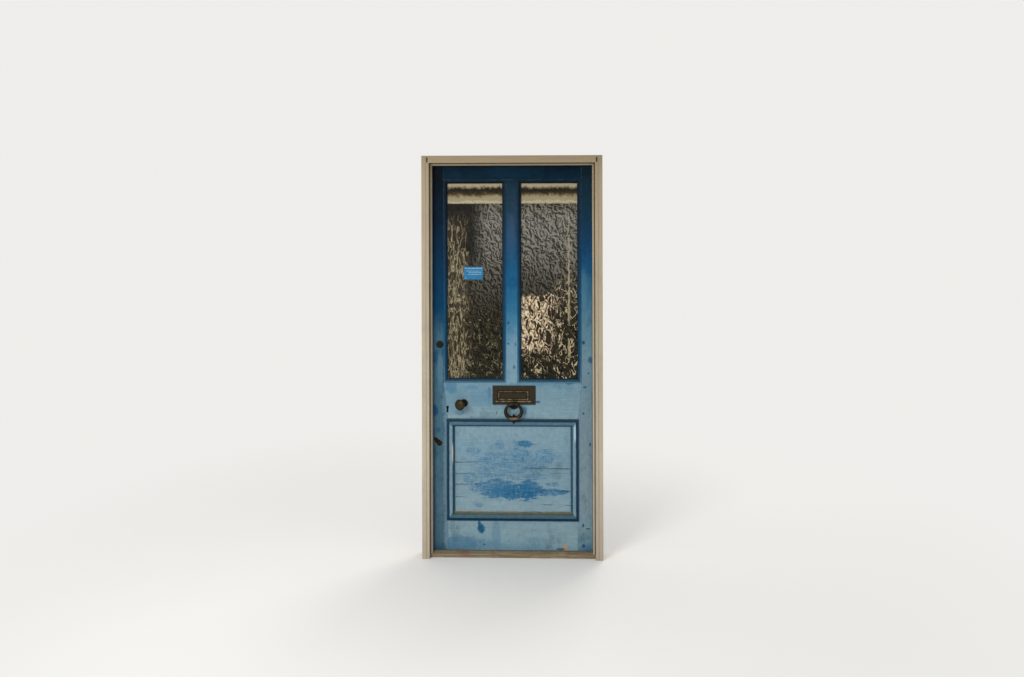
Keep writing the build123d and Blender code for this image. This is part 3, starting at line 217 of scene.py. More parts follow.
def brushed(tree, run):
    """Brush marks and grain, run out by a factor along each axis."""
    return put(tree, "ShaderNodeGroup", {"Run": run}, node_tree=brush_lines).outputs


def dirtied_and_shaded(tree, colour, reach, patchiness, strength, tone):
    """A colour with dirt and painted shade of another tone in the corners."""
    dirt_and_shade = from_group(tree, corner_dirt_and_shade, "Mask", Reach=reach, Patchiness=patchiness)
    return tinted(tree, colour, dirt_and_shade, strength, tone)


def rubbed_and_highlit_edges(tree, colour, width, patchiness, strength, tone):
    """A colour with the edges rubbed down to another tone, which on bronze is also a painted highlight."""
    wear_and_highlight = from_group(tree, worn_and_highlit_arris, "Mask", Width=width, Patchiness=patchiness)
    return tinted(tree, colour, wear_and_highlight, strength, tone)


RIGHT_THROUGH = 9.0


def front_stain(tree, across, up, reach_x, reach_z, run, raggedness, softness):
    """A stain of its own place and size as seen from the front, right through in Y."""
    return from_group(tree, stain, "Mask", Centre=(across, 0.0, up), Reach=(reach_x, RIGHT_THROUGH, reach_z),
                      Run=run, Raggedness=raggedness, Softness=softness)


def shader_of(tree):
    """The Principled shader of a material's tree."""
    return next(n for n in tree.nodes if n.type == "BSDF_PRINCIPLED")


def new_material(name, gloss=0.2):
    """An empty material with its Principled shader."""
    material = bpy.data.materials.new(name)
    material.use_nodes = True
    tree = material.node_tree
    shader = shader_of(tree)
    shader.inputs["Specular IOR Level"].default_value = gloss
    return material, tree, shader


def finish(tree, shader, colour, roughness, relief, depth):
    """Gives a shader its colour, its roughness, plain or from a socket, and relief, depth metres high."""
    tree.links.new(colour, shader.inputs["Base Color"])
    if isinstance(roughness, float):
        shader.inputs["Roughness"].default_value = roughness
    else:
        tree.links.new(roughness, shader.inputs["Roughness"])
    bump = put(tree, "ShaderNodeBump", {"Height": relief, "Distance": depth, "Strength": 1.0})
    tree.links.new(bump.outputs[0], shader.inputs["Normal"])


def paint_node(node, material):
    """Puts a finish on one of the object's own parts."""
    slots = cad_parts[node].data.materials
    slots.clear()
    slots.append(material)


LENGTHWAYS_UP = (160.0, 160.0, 5.0)
LENGTHWAYS_ACROSS = (5.0, 160.0, 160.0)
SHADE_LINE_X = 0.437
SHADE_LINE_WIDTH = 0.0028
SHADE_LINE_CORE = 0.0005
FRAME_FRONT_Y = (-0.045, -0.0495)


def cream_paint(name, run):
    """Old cream paint, with a dark line of painted shade up the front of each jamb, near its outer edge."""
    material, tree, shader = new_material(name, 0.25)
    place, axes = places(tree)
    # Greyer and darker towards the top, partly painted shade from above
    colour = tones_by_height(tree, axes["Z"], [
        (0.02, (174, 162, 143)), (0.45, (182, 172, 152)), (1.1, (172, 162, 140)),
        (1.6, (166, 153, 130)), (1.95, (154, 140, 115)), (2.04, (140, 126, 100))])
    brush = brushed(tree, run)
    streaks = spread(tree, brush["Lines"], 0.3, 0.7, 0.0, 0.22)
    colour = blend(tree, streaks, colour, shade(150, 136, 112), "MULTIPLY")
    grey = spread(tree, cloud(tree, place, 7.0, 6.0, 0.7), 0.45, 0.75, 0.0, 0.35)
    colour = blend(tree, grey, colour, shade(132, 124, 106))
    specks = spread(tree, cloud(tree, place, 170.0, 2.0), 0.70, 0.78, 0.0, 0.5)
    colour = blend(tree, specks, colour, shade(96, 82, 62))
    # A dark line of painted shade up the front of each jamb, near its outer edge
    painted_line = gap_to(tree, calc(tree, "ABSOLUTE", axes["X"]), SHADE_LINE_X)
    painted_line = spread(tree, painted_line, SHADE_LINE_WIDTH, SHADE_LINE_CORE, 0.0, 0.6)
    painted_line = times(tree, painted_line, spread(tree, axes["Y"], *FRAME_FRONT_Y))
    colour = blend(tree, painted_line, colour, shade(104, 93, 74))
    colour = dirtied_and_shaded(tree, colour, 0.006, 18.0, 0.45, (120, 100, 70))
    colour = rubbed_and_highlit_edges(tree, colour, 0.0015, 45.0, 0.5, (150, 128, 96))
    finish(tree, shader, colour, spread(tree, brush["Grain"], 0.2, 0.8, 0.5, 0.68), brush["Lines"], 0.0006)
    return material


upright_cream = cream_paint("cream_paint_upright", LENGTHWAYS_UP)
level_cream = cream_paint("cream_paint_level", LENGTHWAYS_ACROSS)
paint_node("jamb_lock_side", upright_cream)
paint_node("jamb_hinge_side", upright_cream)
paint_node("frame_head", level_cream)
paint_node("frame_stops", upright_cream)


# The sill: a bare length of timber, worn by feet and weather to a dry grey brown, with open grain
# along it, and a few rust brown stains on its nose.

sill_wood, tree, shader = new_material("weathered_sill", 0.15)
place = object_place(tree)
brush = brushed(tree, (9.0, 190.0, 190.0))
colour = blend(tree, spread(tree, brush["Lines"], 0.3, 0.7), shade(100, 88, 68), shade(148, 136, 114))
patches = spread(tree, cloud(tree, place, 9.0, 6.0, 0.7), 0.42, 0.68, 0.0, 0.7)
colour = blend(tree, patches, colour, shade(122, 104, 80))
dark_patches = cloud(tree, stretched(tree, place, (14.0, 40.0, 40.0)), 1.0, 5.0, 0.7)
colour = tinted(tree, colour, spread(tree, dark_patches, 0.58, 0.7), 0.6, (62, 50, 33))
for across, reach in ((-0.245, 0.022), (-0.10, 0.012), (0.28, 0.014)):
    rust = from_group(tree, stain, "Mask", Centre=(across, -0.02, 0.012), Reach=(reach, 0.05, 0.02),
                      Run=(60.0, 60.0, 60.0), Raggedness=1.4, Softness=0.4)
    colour = tinted(tree, colour, rust, 0.4, (126, 84, 52))
colour = rubbed_and_highlit_edges(tree, colour, 0.003, 30.0, 0.6, (158, 142, 114))
finish(tree, shader, colour, 0.82, brush["Grain"], 0.0016)
paint_node("sill", sill_wood)


# The leaf's framing: through-tenoned softwood stiles and rails under old blue gloss paint. Out of the
# sun, near the top, the paint is still deep blue, and lower down it has faded to a pale chalky blue. Its
# tones darken further towards the top with painted shade from above.

DEEP_BLUE = (14, 62, 98)
NAVY = (6, 34, 56)
SHELTERED_BLUE = (40, 86, 116)
LEAF_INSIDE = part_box("lock_rail")[1].y
LEAF_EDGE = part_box("stile_hinge_side")[1].x
INSIDE_MARGIN = 0.006
LINE_EDGE = 0.0022
LINE_CORE = 0.0006
LINE_END = 0.0015


def blue_paint(name, tones, run, marks=(), joints=(), remnant=0.5, inside_from=LEAF_INSIDE - INSIDE_MARGIN):
    """Old blue paint. marks are stains, and patches that paint shade and shadow, as (x, z, reach x, reach z,
    colour, strength), and joints are open joint lines as (x, z, other x, other z). Past inside_from in Y,
    and on the leaf's own edges, the paint has been sheltered."""
    material, tree, shader = new_material(name, 0.05)
    place, axes = places(tree)
    uneven = minus(tree, cloud(tree, place, 5.0, 5.0, 0.6), 0.5)
    colour = tones_by_height(tree, plus(tree, axes["Z"], times(tree, uneven, 0.22)), tones)
    within_edges = spread(tree, calc(tree, "ABSOLUTE", axes["X"]), LEAF_EDGE - 0.0001, LEAF_EDGE - 0.0008)
    weathered = times(tree, spread(tree, axes["Y"], inside_from + 0.001, inside_from), within_edges)
    colour = blend(tree, weathered, shade(*SHELTERED_BLUE), colour)
    brush = brushed(tree, run)
    mottle = spread(tree, cloud(tree, place, 42.0, 5.0, 0.65), 0.3, 0.72, 0.0, 0.22)
    colour = blend(tree, mottle, colour, shade(150, 178, 196), "MULTIPLY")
    bloom = spread(tree, cloud(tree, place, 17.0, 6.0, 0.7), 0.5, 0.78, 0.0, 0.4)
    colour = blend(tree, bloom, colour, shade(206, 222, 228), "SOFT_LIGHT")
    lines = spread(tree, brush["Lines"], 0.32, 0.7, 0.0, 0.17)
    colour = blend(tree, lines, colour, shade(138, 170, 190), "MULTIPLY")
    grime = cloud(tree, stretched(tree, place, (9.0, 9.0, 6.0)), 1.0, 7.0, 0.72)
    colour = blend(tree, spread(tree, grime, 0.50, 0.72, 0.0, 0.42), colour, shade(60, 104, 132), "MULTIPLY")
    scuffs = spread(tree, cloud(tree, place, 120.0, 4.0, 0.7), 0.56, 0.70, 0.0, 0.35)
    colour = blend(tree, scuffs, colour, shade(88, 132, 158), "MULTIPLY")
    left_over = spread(tree, cloud(tree, place, 24.0, 6.0, 0.72, 0.8), 0.63, 0.72)
    left_over = times(tree, left_over, spread(tree, cloud(tree, place, 4.5), 0.45, 0.65, 0.0, remnant))
    colour = blend(tree, times(tree, left_over, weathered), colour, shade(*DEEP_BLUE))
    dents = put(tree, "ShaderNodeTexVoronoi", {"Vector": place, "Scale": 13.0, "Randomness": 1.0})
    dent = spread(tree, dents.outputs["Distance"], 0.055, 0.03)
    rare = put(tree, "ShaderNodeSeparateColor", {0: dents.outputs["Color"]}).outputs[0]
    dent = times(tree, dent, times(tree, spread(tree, rare, 0.60, 0.64), weathered))
    colour = tinted(tree, colour, dent, 0.7, DEEP_BLUE)
    for across, up, reach_x, reach_z, tone, strength in marks:
        mark = front_stain(tree, across, up, reach_x, reach_z, (70.0, 70.0, 70.0), 1.2, 0.35)
        colour = tinted(tree, colour, times(tree, mark, weathered), strength, tone)
    for x_from, z_from, x_to, z_to in joints:
        lean = times(tree, minus(tree, axes["Z"], z_from), (x_to - x_from) / (z_to - z_from))
        aside = gap_to(tree, minus(tree, axes["X"], x_from), lean)
        opened = spread(tree, cloud(tree, place, 22.0, 4.0, 0.7), 0.40, 0.58, 0.08, 0.5)
        line = times(tree, spread(tree, aside, LINE_EDGE, LINE_CORE), opened)
        line = times(tree, line, between(tree, axes["Z"], z_from - LINE_END, z_to + LINE_END, LINE_END))
        colour = blend(tree, line, colour, shade(14, 52, 78))
    # Painted shade, with some dirt, in deep navy in the corners and quirks
    colour = dirtied_and_shaded(tree, colour, 0.008, 20.0, 0.72, (10, 36, 54))
    colour = rubbed_and_highlit_edges(tree, colour, 0.0014, 55.0, 0.35, (158, 176, 182))
    rough = spread(tree, cloud(tree, place, 30.0), 0.2, 0.8, 0.5, 0.72)
    relief = plus(tree, times(tree, brush["Lines"], 0.6), times(tree, brush["Grain"], 0.4))
    finish(tree, shader, colour, rough, minus(tree, relief, times(tree, dent, 1.2)), 0.0007)
    return material


# The joints between rails and stiles: the lock rail's shoulders slope, because the stiles are narrower above
LEFT_JOINTS = [(-0.333, 0.694, -0.354, 0.884), (-0.333, 0.027, -0.333, 0.183), (-0.354, 1.927, -0.354, 2.008)]
RIGHT_JOINTS = [(-x_from, z_from, -x_to, z_to) for x_from, z_from, x_to, z_to in LEFT_JOINTS]

# The lock stile is darker than the hinge stile, with painted shadow from the frame over its outer half: its
# darker tones and the dark strips along its outer edge are that painted shadow, and the paler strips along
# its inner side are the paint beside it, out of the shadow.
lock_stile_paint = blue_paint("blue_paint_lock_stile", [
    (0.03, (42, 78, 98)), (0.09, (66, 96, 110)), (0.24, (73, 101, 115)), (0.85, (67, 102, 118)),
    (1.12, (60, 97, 117)), (1.27, (6, 58, 91)), (1.50, (5, 44, 71)), (1.72, (5, 27, 45)),
    (1.95, (3, 13, 20))],
    LENGTHWAYS_UP, [
        (-0.399, 0.743, 0.015, 0.030, DEEP_BLUE, 0.85), (-0.362, 1.040, 0.026, 0.022, DEEP_BLUE, 0.55),
        (-0.397, 1.015, 0.018, 0.032, DEEP_BLUE, 0.6), (-0.354, 0.723, 0.008, 0.009, NAVY, 0.95),
        (-0.412, 0.46, 0.016, 0.30, (34, 72, 100), 0.55), (-0.412, 0.20, 0.016, 0.16, (34, 72, 100), 0.5),
        (-0.383, 0.642, 0.012, 0.014, DEEP_BLUE, 0.45), (-0.330, 0.43, 0.024, 0.36, (108, 135, 148), 0.55),
        (-0.330, 0.10, 0.024, 0.10, (104, 132, 145), 0.6), (-0.334, 0.76, 0.026, 0.11, (102, 131, 146), 0.5),
        (-0.372, 0.95, 0.014, 0.10, (88, 122, 140), 0.4)], LEFT_JOINTS)
hinge_stile_paint = blue_paint("blue_paint_hinge_stile", [
    (0.03, (66, 106, 128)), (0.10, (106, 136, 148)), (0.24, (124, 144, 152)), (0.62, (116, 136, 146)),
    (1.05, (104, 134, 146)), (1.18, (86, 122, 140)), (1.32, (62, 108, 132)), (1.45, (24, 79, 115)),
    (1.60, (20, 60, 93)), (1.80, (18, 46, 60)), (1.96, (10, 30, 40))],
    LENGTHWAYS_UP, [
        (0.363, 1.092, 0.009, 0.009, DEEP_BLUE, 0.9), (0.398, 1.003, 0.012, 0.016, DEEP_BLUE, 0.7),
        (0.389, 0.935, 0.005, 0.005, DEEP_BLUE, 0.8), (0.369, 0.863, 0.010, 0.007, DEEP_BLUE, 0.7),
        (0.363, 0.729, 0.006, 0.006, DEEP_BLUE, 0.8), (0.396, 0.572, 0.006, 0.010, DEEP_BLUE, 0.8),
        (0.360, 0.157, 0.005, 0.010, DEEP_BLUE, 0.8), (0.385, 0.140, 0.012, 0.003, NAVY, 0.8),
        (0.361, 0.052, 0.008, 0.010, DEEP_BLUE, 0.8), (0.414, 0.50, 0.007, 0.50, (60, 96, 120), 0.5),
        (0.362, 1.375, 0.022, 0.085, (84, 124, 144), 0.3), (0.410, 0.815, 0.010, 0.05, (60, 96, 120), 0.4)],
    RIGHT_JOINTS)
bar_paint = blue_paint("blue_paint_glazing_bar", [
    (0.90, (118, 150, 165)), (1.08, (108, 143, 162)), (1.17, (74, 125, 152)), (1.25, (46, 104, 137)),
    (1.40, (28, 90, 128)), (1.53, (19, 71, 106)), (1.66, (34, 67, 95)), (1.80, (32, 56, 72)),
    (1.93, (12, 38, 54))],
    LENGTHWAYS_UP, [
        (-0.0206, 1.192, 0.006, 0.008, DEEP_BLUE, 0.7), (-0.020, 1.086, 0.006, 0.006, DEEP_BLUE, 0.7),
        (0.016, 1.080, 0.005, 0.010, DEEP_BLUE, 0.5), (0.009, 0.966, 0.007, 0.010, DEEP_BLUE, 0.6),
        (-0.004, 1.62, 0.022, 0.12, (60, 84, 110), 0.3)], remnant=0.2)
top_rail_paint = blue_paint("blue_paint_top_rail", [
    (1.90, (6, 38, 55)), (1.95, (4, 30, 45)), (2.00, (2, 21, 33))], LENGTHWAYS_ACROSS, [
        (0.0, 1.965, 0.12, 0.03, (8, 42, 60), 0.4)], LEFT_JOINTS + RIGHT_JOINTS, remnant=0.2)
# On the lock rail, the deep blue patch under the knob is partly a painted shadow of the knob, and the small
# dark patch right of the knocker ring is a painted shadow of the ring.
lock_rail_paint = blue_paint("blue_paint_lock_rail", [
    (0.70, (127, 153, 163)), (0.80, (118, 146, 157)), (0.87, (112, 143, 158))], LENGTHWAYS_ACROSS, [
        (-0.271, 0.732, 0.026, 0.014, DEEP_BLUE, 0.4), (-0.118, 0.836, 0.010, 0.026, (44, 96, 130), 0.6),
        (-0.150, 0.80, 0.07, 0.04, (84, 124, 148), 0.55), (-0.215, 0.862, 0.035, 0.012, (70, 116, 142), 0.5),
        (0.295, 0.884, 0.022, 0.008, DEEP_BLUE, 0.5), (0.130, 0.788, 0.014, 0.007, DEEP_BLUE, 0.75),
        (-0.081, 0.731, 0.0025, 0.010, (70, 78, 60), 0.8), (-0.300, 0.80, 0.05, 0.07, (96, 130, 148), 0.5),
        (0.062, 0.742, 0.012, 0.022, (44, 96, 130), 0.6), (-0.315, 0.86, 0.030, 0.030, (60, 106, 136), 0.6),
        (0.10, 0.876, 0.10, 0.006, (64, 110, 138), 0.4), (-0.04, 0.705, 0.20, 0.007, (60, 104, 132), 0.4)],
    LEFT_JOINTS + RIGHT_JOINTS)
bottom_rail_paint = blue_paint("blue_paint_bottom_rail", [
    (0.030, (104, 138, 154)), (0.045, (114, 146, 158)), (0.070, (122, 150, 160)), (0.11, (128, 153, 162)),
    (0.17, (124, 149, 158))], LENGTHWAYS_ACROSS, [
        (-0.162, 0.136, 0.020, 0.022, (20, 74, 108), 0.95), (-0.172, 0.160, 0.008, 0.018, (20, 74, 108), 0.9),
        (-0.085, 0.095, 0.022, 0.10, (84, 120, 144), 0.55), (-0.30, 0.06, 0.15, 0.04, (62, 102, 130), 0.65),
        (0.268, 0.040, 0.010, 0.020, (168, 134, 106), 0.95), (0.246, 0.034, 0.022, 0.006, (70, 66, 56), 0.8),
        (-0.145, 0.055, 0.006, 0.004, NAVY, 0.7), (0.105, 0.08, 0.03, 0.012, (96, 126, 140), 0.5)],
    LEFT_JOINTS + RIGHT_JOINTS)
for node, paint in (("stile_lock_side", lock_stile_paint), ("stile_hinge_side", hinge_stile_paint),
                    ("glazing_bar", bar_paint), ("top_rail", top_rail_paint),
                    ("lock_rail", lock_rail_paint), ("bottom_rail", bottom_rail_paint)):
    paint_node(node, paint)


# The lower panel: one wide board with its grain across, split by shrinkage at both ends. A patch of
# the old deep blue is left in the middle, dragged out in level streaks, and its foot is worn to the wood.

PANEL_STREAKS = (24.0, 60.0, 75.0)

# Where the deep blue is left on the panel, as (x, z, reach x, reach z, strength)
PANEL_PATCHES = (
    (-0.013, 0.321, 0.150, 0.038, 0.95), (0.077, 0.330, 0.064, 0.052, 1.0),
    (0.180, 0.322, 0.070, 0.020, 0.75), (0.250, 0.322, 0.034, 0.012, 0.9),
    (0.205, 0.362, 0.035, 0.012, 0.6), (-0.085, 0.352, 0.110, 0.040, 0.75),
    (-0.218, 0.393, 0.040, 0.034, 0.5), (-0.198, 0.338, 0.034, 0.020, 0.5),
    (-0.050, 0.477, 0.155, 0.055, 0.5), (0.045, 0.490, 0.054, 0.070, 0.55),
    (0.100, 0.470, 0.090, 0.048, 0.5), (0.166, 0.506, 0.056, 0.046, 0.55),
    (-0.067, 0.562, 0.026, 0.030, 0.5), (0.064, 0.569, 0.046, 0.018, 0.9),
    (0.020, 0.550, 0.020, 0.030, 0.55), (-0.205, 0.530, 0.046, 0.020, 0.45),
    (-0.250, 0.490, 0.022, 0.014, 0.4), (-0.120, 0.500, 0.040, 0.030, 0.45),
    (-0.090, 0.420, 0.110, 0.034, 0.5), (0.020, 0.420, 0.100, 0.040, 0.5),
    (0.110, 0.400, 0.080, 0.022, 0.45))

# The splits, as (x from, x to, z, strength)
PANEL_SPLITS = ((-0.300, -0.180, 0.474, 0.65), (-0.300, -0.225, 0.416, 0.5), (-0.300, -0.180, 0.361, 0.6),
                (0.060, 0.300, 0.444, 0.75), (0.190, 0.300, 0.418, 0.4), (0.130, 0.300, 0.329, 0.6),
                (0.150, 0.205, 0.257, 0.8))
SPLIT_END = 0.01
PANEL_FOOT = (0.2225, 0.2205)

panel_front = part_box("lower_panel")[0].y
panel_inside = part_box("lower_panel")[1].y - 0.001
panel_paint = blue_paint("blue_paint_panel", [
    (0.19, (136, 159, 168)), (0.34, (124, 150, 161)), (0.52, (119, 148, 162)), (0.66, (130, 156, 168))],
    LENGTHWAYS_ACROSS, remnant=0.15, inside_from=panel_inside)
tree = panel_paint.node_tree
shader = shader_of(tree)
place, axes = places(tree)
colour = shader.inputs["Base Color"].links[0].from_socket
weathered = spread(tree, axes["Y"], panel_inside, panel_inside - 0.001)
left_patch = 0.0
for across, up, reach_x, reach_z, strength in PANEL_PATCHES:
    part = front_stain(tree, across, up, reach_x, reach_z, PANEL_STREAKS, 2.0, 0.34)
    left_patch = calc(tree, "MAXIMUM", left_patch, times(tree, part, strength))
drags = minus(tree, cloud(tree, stretched(tree, place, (17.0, 60.0, 120.0)), 1.0, 5.0, 0.75), 0.5)
dabs = minus(tree, cloud(tree, stretched(tree, place, (88.0, 60.0, 40.0)), 1.0, 5.0, 0.75), 0.5)
left_on = plus(tree, left_patch, plus(tree, times(tree, drags, 1.5), times(tree, dabs, 1.3)))
patch = times(tree, spread(tree, left_on, 0.14, 1.02, 0.0, 0.92), spread(tree, left_patch, 0.02, 0.30))
colour = blend(tree, times(tree, patch, weathered), colour, shade(40, 98, 134))
heart = front_stain(tree, 0.050, 0.318, 0.110, 0.036, PANEL_STREAKS, 2.4, 0.4)
heart = times(tree, heart, spread(tree, plus(tree, drags, dabs), -0.12, 0.12, 0.1, 1.0))
colour = tinted(tree, colour, times(tree, heart, weathered), 0.75, (24, 82, 120))
drip = front_stain(tree, -0.172, 0.252, 0.020, 0.012, (70.0, 70.0, 70.0), 1.4, 0.4)
colour = tinted(tree, colour, times(tree, drip, weathered), 0.6, (70, 112, 140))
in_split = spread(tree, axes["Y"], panel_front + 0.0004, panel_front + 0.0012)
colour = tinted(tree, colour, times(tree, in_split, weathered), 0.9, (22, 34, 40))
sway = times(tree, minus(tree, cloud(tree, place, 14.0, 3.0), 0.5), 0.006)
for x_from, x_to, up, strength in PANEL_SPLITS:
    aside = gap_to(tree, plus(tree, axes["Z"], sway), up)
    line = spread(tree, aside, LINE_EDGE, LINE_CORE)
    line = times(tree, line, between(tree, axes["X"], x_from, x_to, SPLIT_END))
    opened = times(tree, weathered, spread(tree, cloud(tree, place, 40.0, 3.0), 0.38, 0.52, 0.3, 1.0))
    colour = tinted(tree, colour, times(tree, line, opened), strength, (26, 40, 46))
foot = times(tree, spread(tree, axes["Z"], *PANEL_FOOT), weathered)
bare = spread(tree, cloud(tree, stretched(tree, place, (22.0, 60.0, 60.0)), 1.0, 4.0), 0.40, 0.55)
foot_colour = blend(tree, spread(tree, axes["X"], -0.05, 0.16), shade(140, 118, 82), shade(66, 58, 46))
colour = blend(tree, times(tree, foot, times(tree, bare, 0.85)), colour, foot_colour)
tree.links.new(colour, shader.inputs["Base Color"])
paint_node("lower_panel", panel_paint)


# The bolection moulding: four mitred lengths that lap over the framing. Its hollows hold dark old
# paint, deepened with painted shade, its broad raised band is rubbed pale, with a painted highlight on
# the right length, and two short stretches are down to the bare wood.

low_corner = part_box("panel_moulding_left")[0]
high_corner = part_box("panel_moulding_right")[1]
HOLLOW_WIDTH = 0.0150
BAND_WIDTH = 0.0305
MOULDING_WIDTH = 0.0420
BAND_SOFTNESS = 0.0015
MITRE_SPREAD = (0.012, 0.006)


def in_from_edges(tree, axes, low, high):
    """How far in from the nearest of four edges, and from the foot and the top, as seen from the front."""
    from_sides = calc(tree, "MINIMUM", minus(tree, axes["X"], low.x), minus(tree, high.x, axes["X"]))
    from_foot = minus(tree, axes["Z"], low.z)
    from_top = minus(tree, high.z, axes["Z"])
    nearest = calc(tree, "MINIMUM", from_sides, calc(tree, "MINIMUM", from_foot, from_top))
    return nearest, from_foot, from_top


moulding_paint, tree, shader = new_material("blue_paint_moulding", 0.08)
place, axes = places(tree)
across, from_foot, from_top = in_from_edges(tree, axes, low_corner, high_corner)
wander = times(tree, minus(tree, cloud(tree, place, 26.0, 4.0, 0.65), 0.5), 0.006)
across = plus(tree, across, wander)
is_top = spread(tree, minus(tree, from_top, across), *MITRE_SPREAD)
is_foot = spread(tree, minus(tree, from_foot, across), *MITRE_SPREAD)
# Each length has its own tones; the top length's are darker, partly painted shade
band_tone = blend(tree, is_foot, shade(118, 144, 156), shade(66, 98, 112))
band_tone = blend(tree, is_top, band_tone, shade(74, 108, 126))
hollow_tone = blend(tree, is_top, shade(24, 54, 76), shade(34, 54, 64))
hollow_tone = blend(tree, is_foot, hollow_tone, shade(10, 44, 68))
inner_tone = blend(tree, is_foot, shade(50, 84, 106), shade(86, 96, 88))
band = between(tree, across, HOLLOW_WIDTH, BAND_WIDTH, BAND_SOFTNESS)
colour = blend(tree, spread(tree, across, 0.018, 0.030), hollow_tone, inner_tone)
colour = blend(tree, band, colour, band_tone)
lip = spread(tree, across, 0.0032, 0.0012)
colour = tinted(tree, colour, lip, 0.35, (96, 124, 138))
mottle = spread(tree, cloud(tree, place, 45.0, 5.0, 0.65), 0.3, 0.72, 0.0, 0.4)
colour = blend(tree, mottle, colour, shade(140, 168, 188), "MULTIPLY")
# A painted highlight on the raised band of the right length
rubbed_and_highlit = front_stain(tree, 0.3185, 0.630, 0.0045, 0.040, (80.0, 80.0, 30.0), 1.0, 0.4)
colour = tinted(tree, colour, rubbed_and_highlit, 0.8, (176, 200, 210))
bare_strip = front_stain(tree, -0.3085, 0.523, 0.0035, 0.048, (90.0, 90.0, 30.0), 0.9, 0.3)
colour = tinted(tree, colour, bare_strip, 0.9, (186, 176, 158))
foot_edge = spread(tree, across, MOULDING_WIDTH - 0.0030, MOULDING_WIDTH - 0.0015)
foot_edge = times(tree, is_foot, foot_edge)
bare = spread(tree, cloud(tree, stretched(tree, place, (24.0, 60.0, 60.0)), 1.0, 4.0), 0.40, 0.55)
colour = tinted(tree, colour, foot_edge, bare, (146, 118, 74))
colour = dirtied_and_shaded(tree, colour, 0.007, 20.0, 0.7, (8, 30, 46))
colour = rubbed_and_highlit_edges(tree, colour, 0.0012, 55.0, 0.5, (150, 172, 180))
finish(tree, shader, colour, 0.55, brushed(tree, (70.0, 70.0, 70.0))["Lines"], 0.0005)
for side in ("left", "right", "top", "bottom"):
    paint_node(f"panel_moulding_{side}", moulding_paint)


# The inner mouldings and the glazing beads: plain square lengths under the same blue paint, which has
# stayed even and deep inside, out of the weather.

inner_paint = blue_paint("blue_paint_inside", [(0.10, SHELTERED_BLUE), (1.95, SHELTERED_BLUE)], LENGTHWAYS_UP,
                         remnant=0.3, inside_from=0.0)
for node in ("panel_inner_mouldings", "glazing_beads_left", "glazing_beads_right"):
    paint_node(node, inner_paint)


# The glazing mouldings: a quirk, a flat, an ovolo and a fillet down to the glass, thick with deep
# blue paint that has only faded on the flat and along the foot of each pane. The ovolo is darker, partly
# with painted shade, and painted shade darkens the fillet at the glass and the corners.

QUIRK_WIDTH = 0.0020
FLAT_WIDTH = 0.0060
SIGHT_WIDTH = 0.0165
FLAT_SOFTNESS = 0.0006
SIGHT_SOFTNESS = 0.0015

for pane in ("left", "right"):
    low_corner, high_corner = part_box(f"glazing_mouldings_{pane}")
    glazing_paint, tree, shader = new_material(f"blue_paint_glazing_{pane}", 0.08)
    place, axes = places(tree)
    across = in_from_edges(tree, axes, low_corner, high_corner)[0]
    flat_tone = tones_by_height(tree, axes["Z"], [
        (0.88, (92, 130, 148)), (1.00, (58, 100, 124)), (1.20, (34, 84, 114)), (1.50, (22, 58, 84)),
        (1.75, (20, 44, 62)), (1.93, (10, 32, 44))])
    # The ovolo's darker tones are partly painted shade
    ovolo_tone = tones_by_height(tree, axes["Z"], [
        (0.88, (40, 74, 92)), (0.95, (22, 66, 94)), (1.20, (18, 64, 92)), (1.50, (14, 46, 70)),
        (1.75, (9, 32, 50)), (1.93, (6, 22, 32))])
    is_flat = between(tree, across, QUIRK_WIDTH, FLAT_WIDTH, FLAT_SOFTNESS)
    colour = blend(tree, is_flat, ovolo_tone, flat_tone)
    # Painted shade at the fillet next to the glass
    sight_shade = spread(tree, across, SIGHT_WIDTH - SIGHT_SOFTNESS, SIGHT_WIDTH + SIGHT_SOFTNESS)
    colour = tinted(tree, colour, sight_shade, 0.7, (12, 30, 42))
    mottle = spread(tree, cloud(tree, place, 45.0, 5.0, 0.65), 0.3, 0.72, 0.0, 0.35)
    colour = blend(tree, mottle, colour, shade(140, 168, 188), "MULTIPLY")
    colour = dirtied_and_shaded(tree, colour, 0.006, 20.0, 0.7, (6, 24, 38))
    colour = rubbed_and_highlit_edges(tree, colour, 0.001, 55.0, 0.3, (110, 146, 164))
    finish(tree, shader, colour, 0.5, brushed(tree, LENGTHWAYS_UP)["Lines"], 0.0004)
    paint_node(f"glazing_mouldings_{pane}", glazing_paint)


# The glass: two rolled sheets of obscured glass, pressed into small winding hollows. What shows in them is
# painted into their colour: a view through them, dark low down and grey higher up, painted light and
# shade on the hollows, a pale band at the head that is a painted reflection, pale streaks at the left of
# the left pane that are a painted reflection, a painted shadow high in the left pane, a pale field seen
# low in the right one and a painted glint.

RIPPLE_DEPTH = 0.0014
RIPPLE_SIZE = 0.028
RIPPLE_STRETCH = 1.2
GRID_STEP = 0.0028
GRID_STRETCH = 1.15
LIGHT_STEP = (0.0036, 0.0, 0.00315)
SWELL_STRETCH = (1.1, 1.0, 0.85)
SWELL_SCALE = 34.0
HEAD_BAND = (1.801, 1.806)
GLINT_X = 0.290


def swell_at(tree, place):
    """The height of the pressed glass, which its light and dark follow."""
    return cloud(tree, stretched(tree, place, SWELL_STRETCH), SWELL_SCALE, 1.6, 0.5, 1.2)


ripple = bpy.data.textures.new("rolled_ripple", "VORONOI")
ripple.noise_scale = RIPPLE_SIZE
ripple.weight_1 = -1.0
ripple.weight_2 = 1.0
ripple.noise_intensity = 1.3

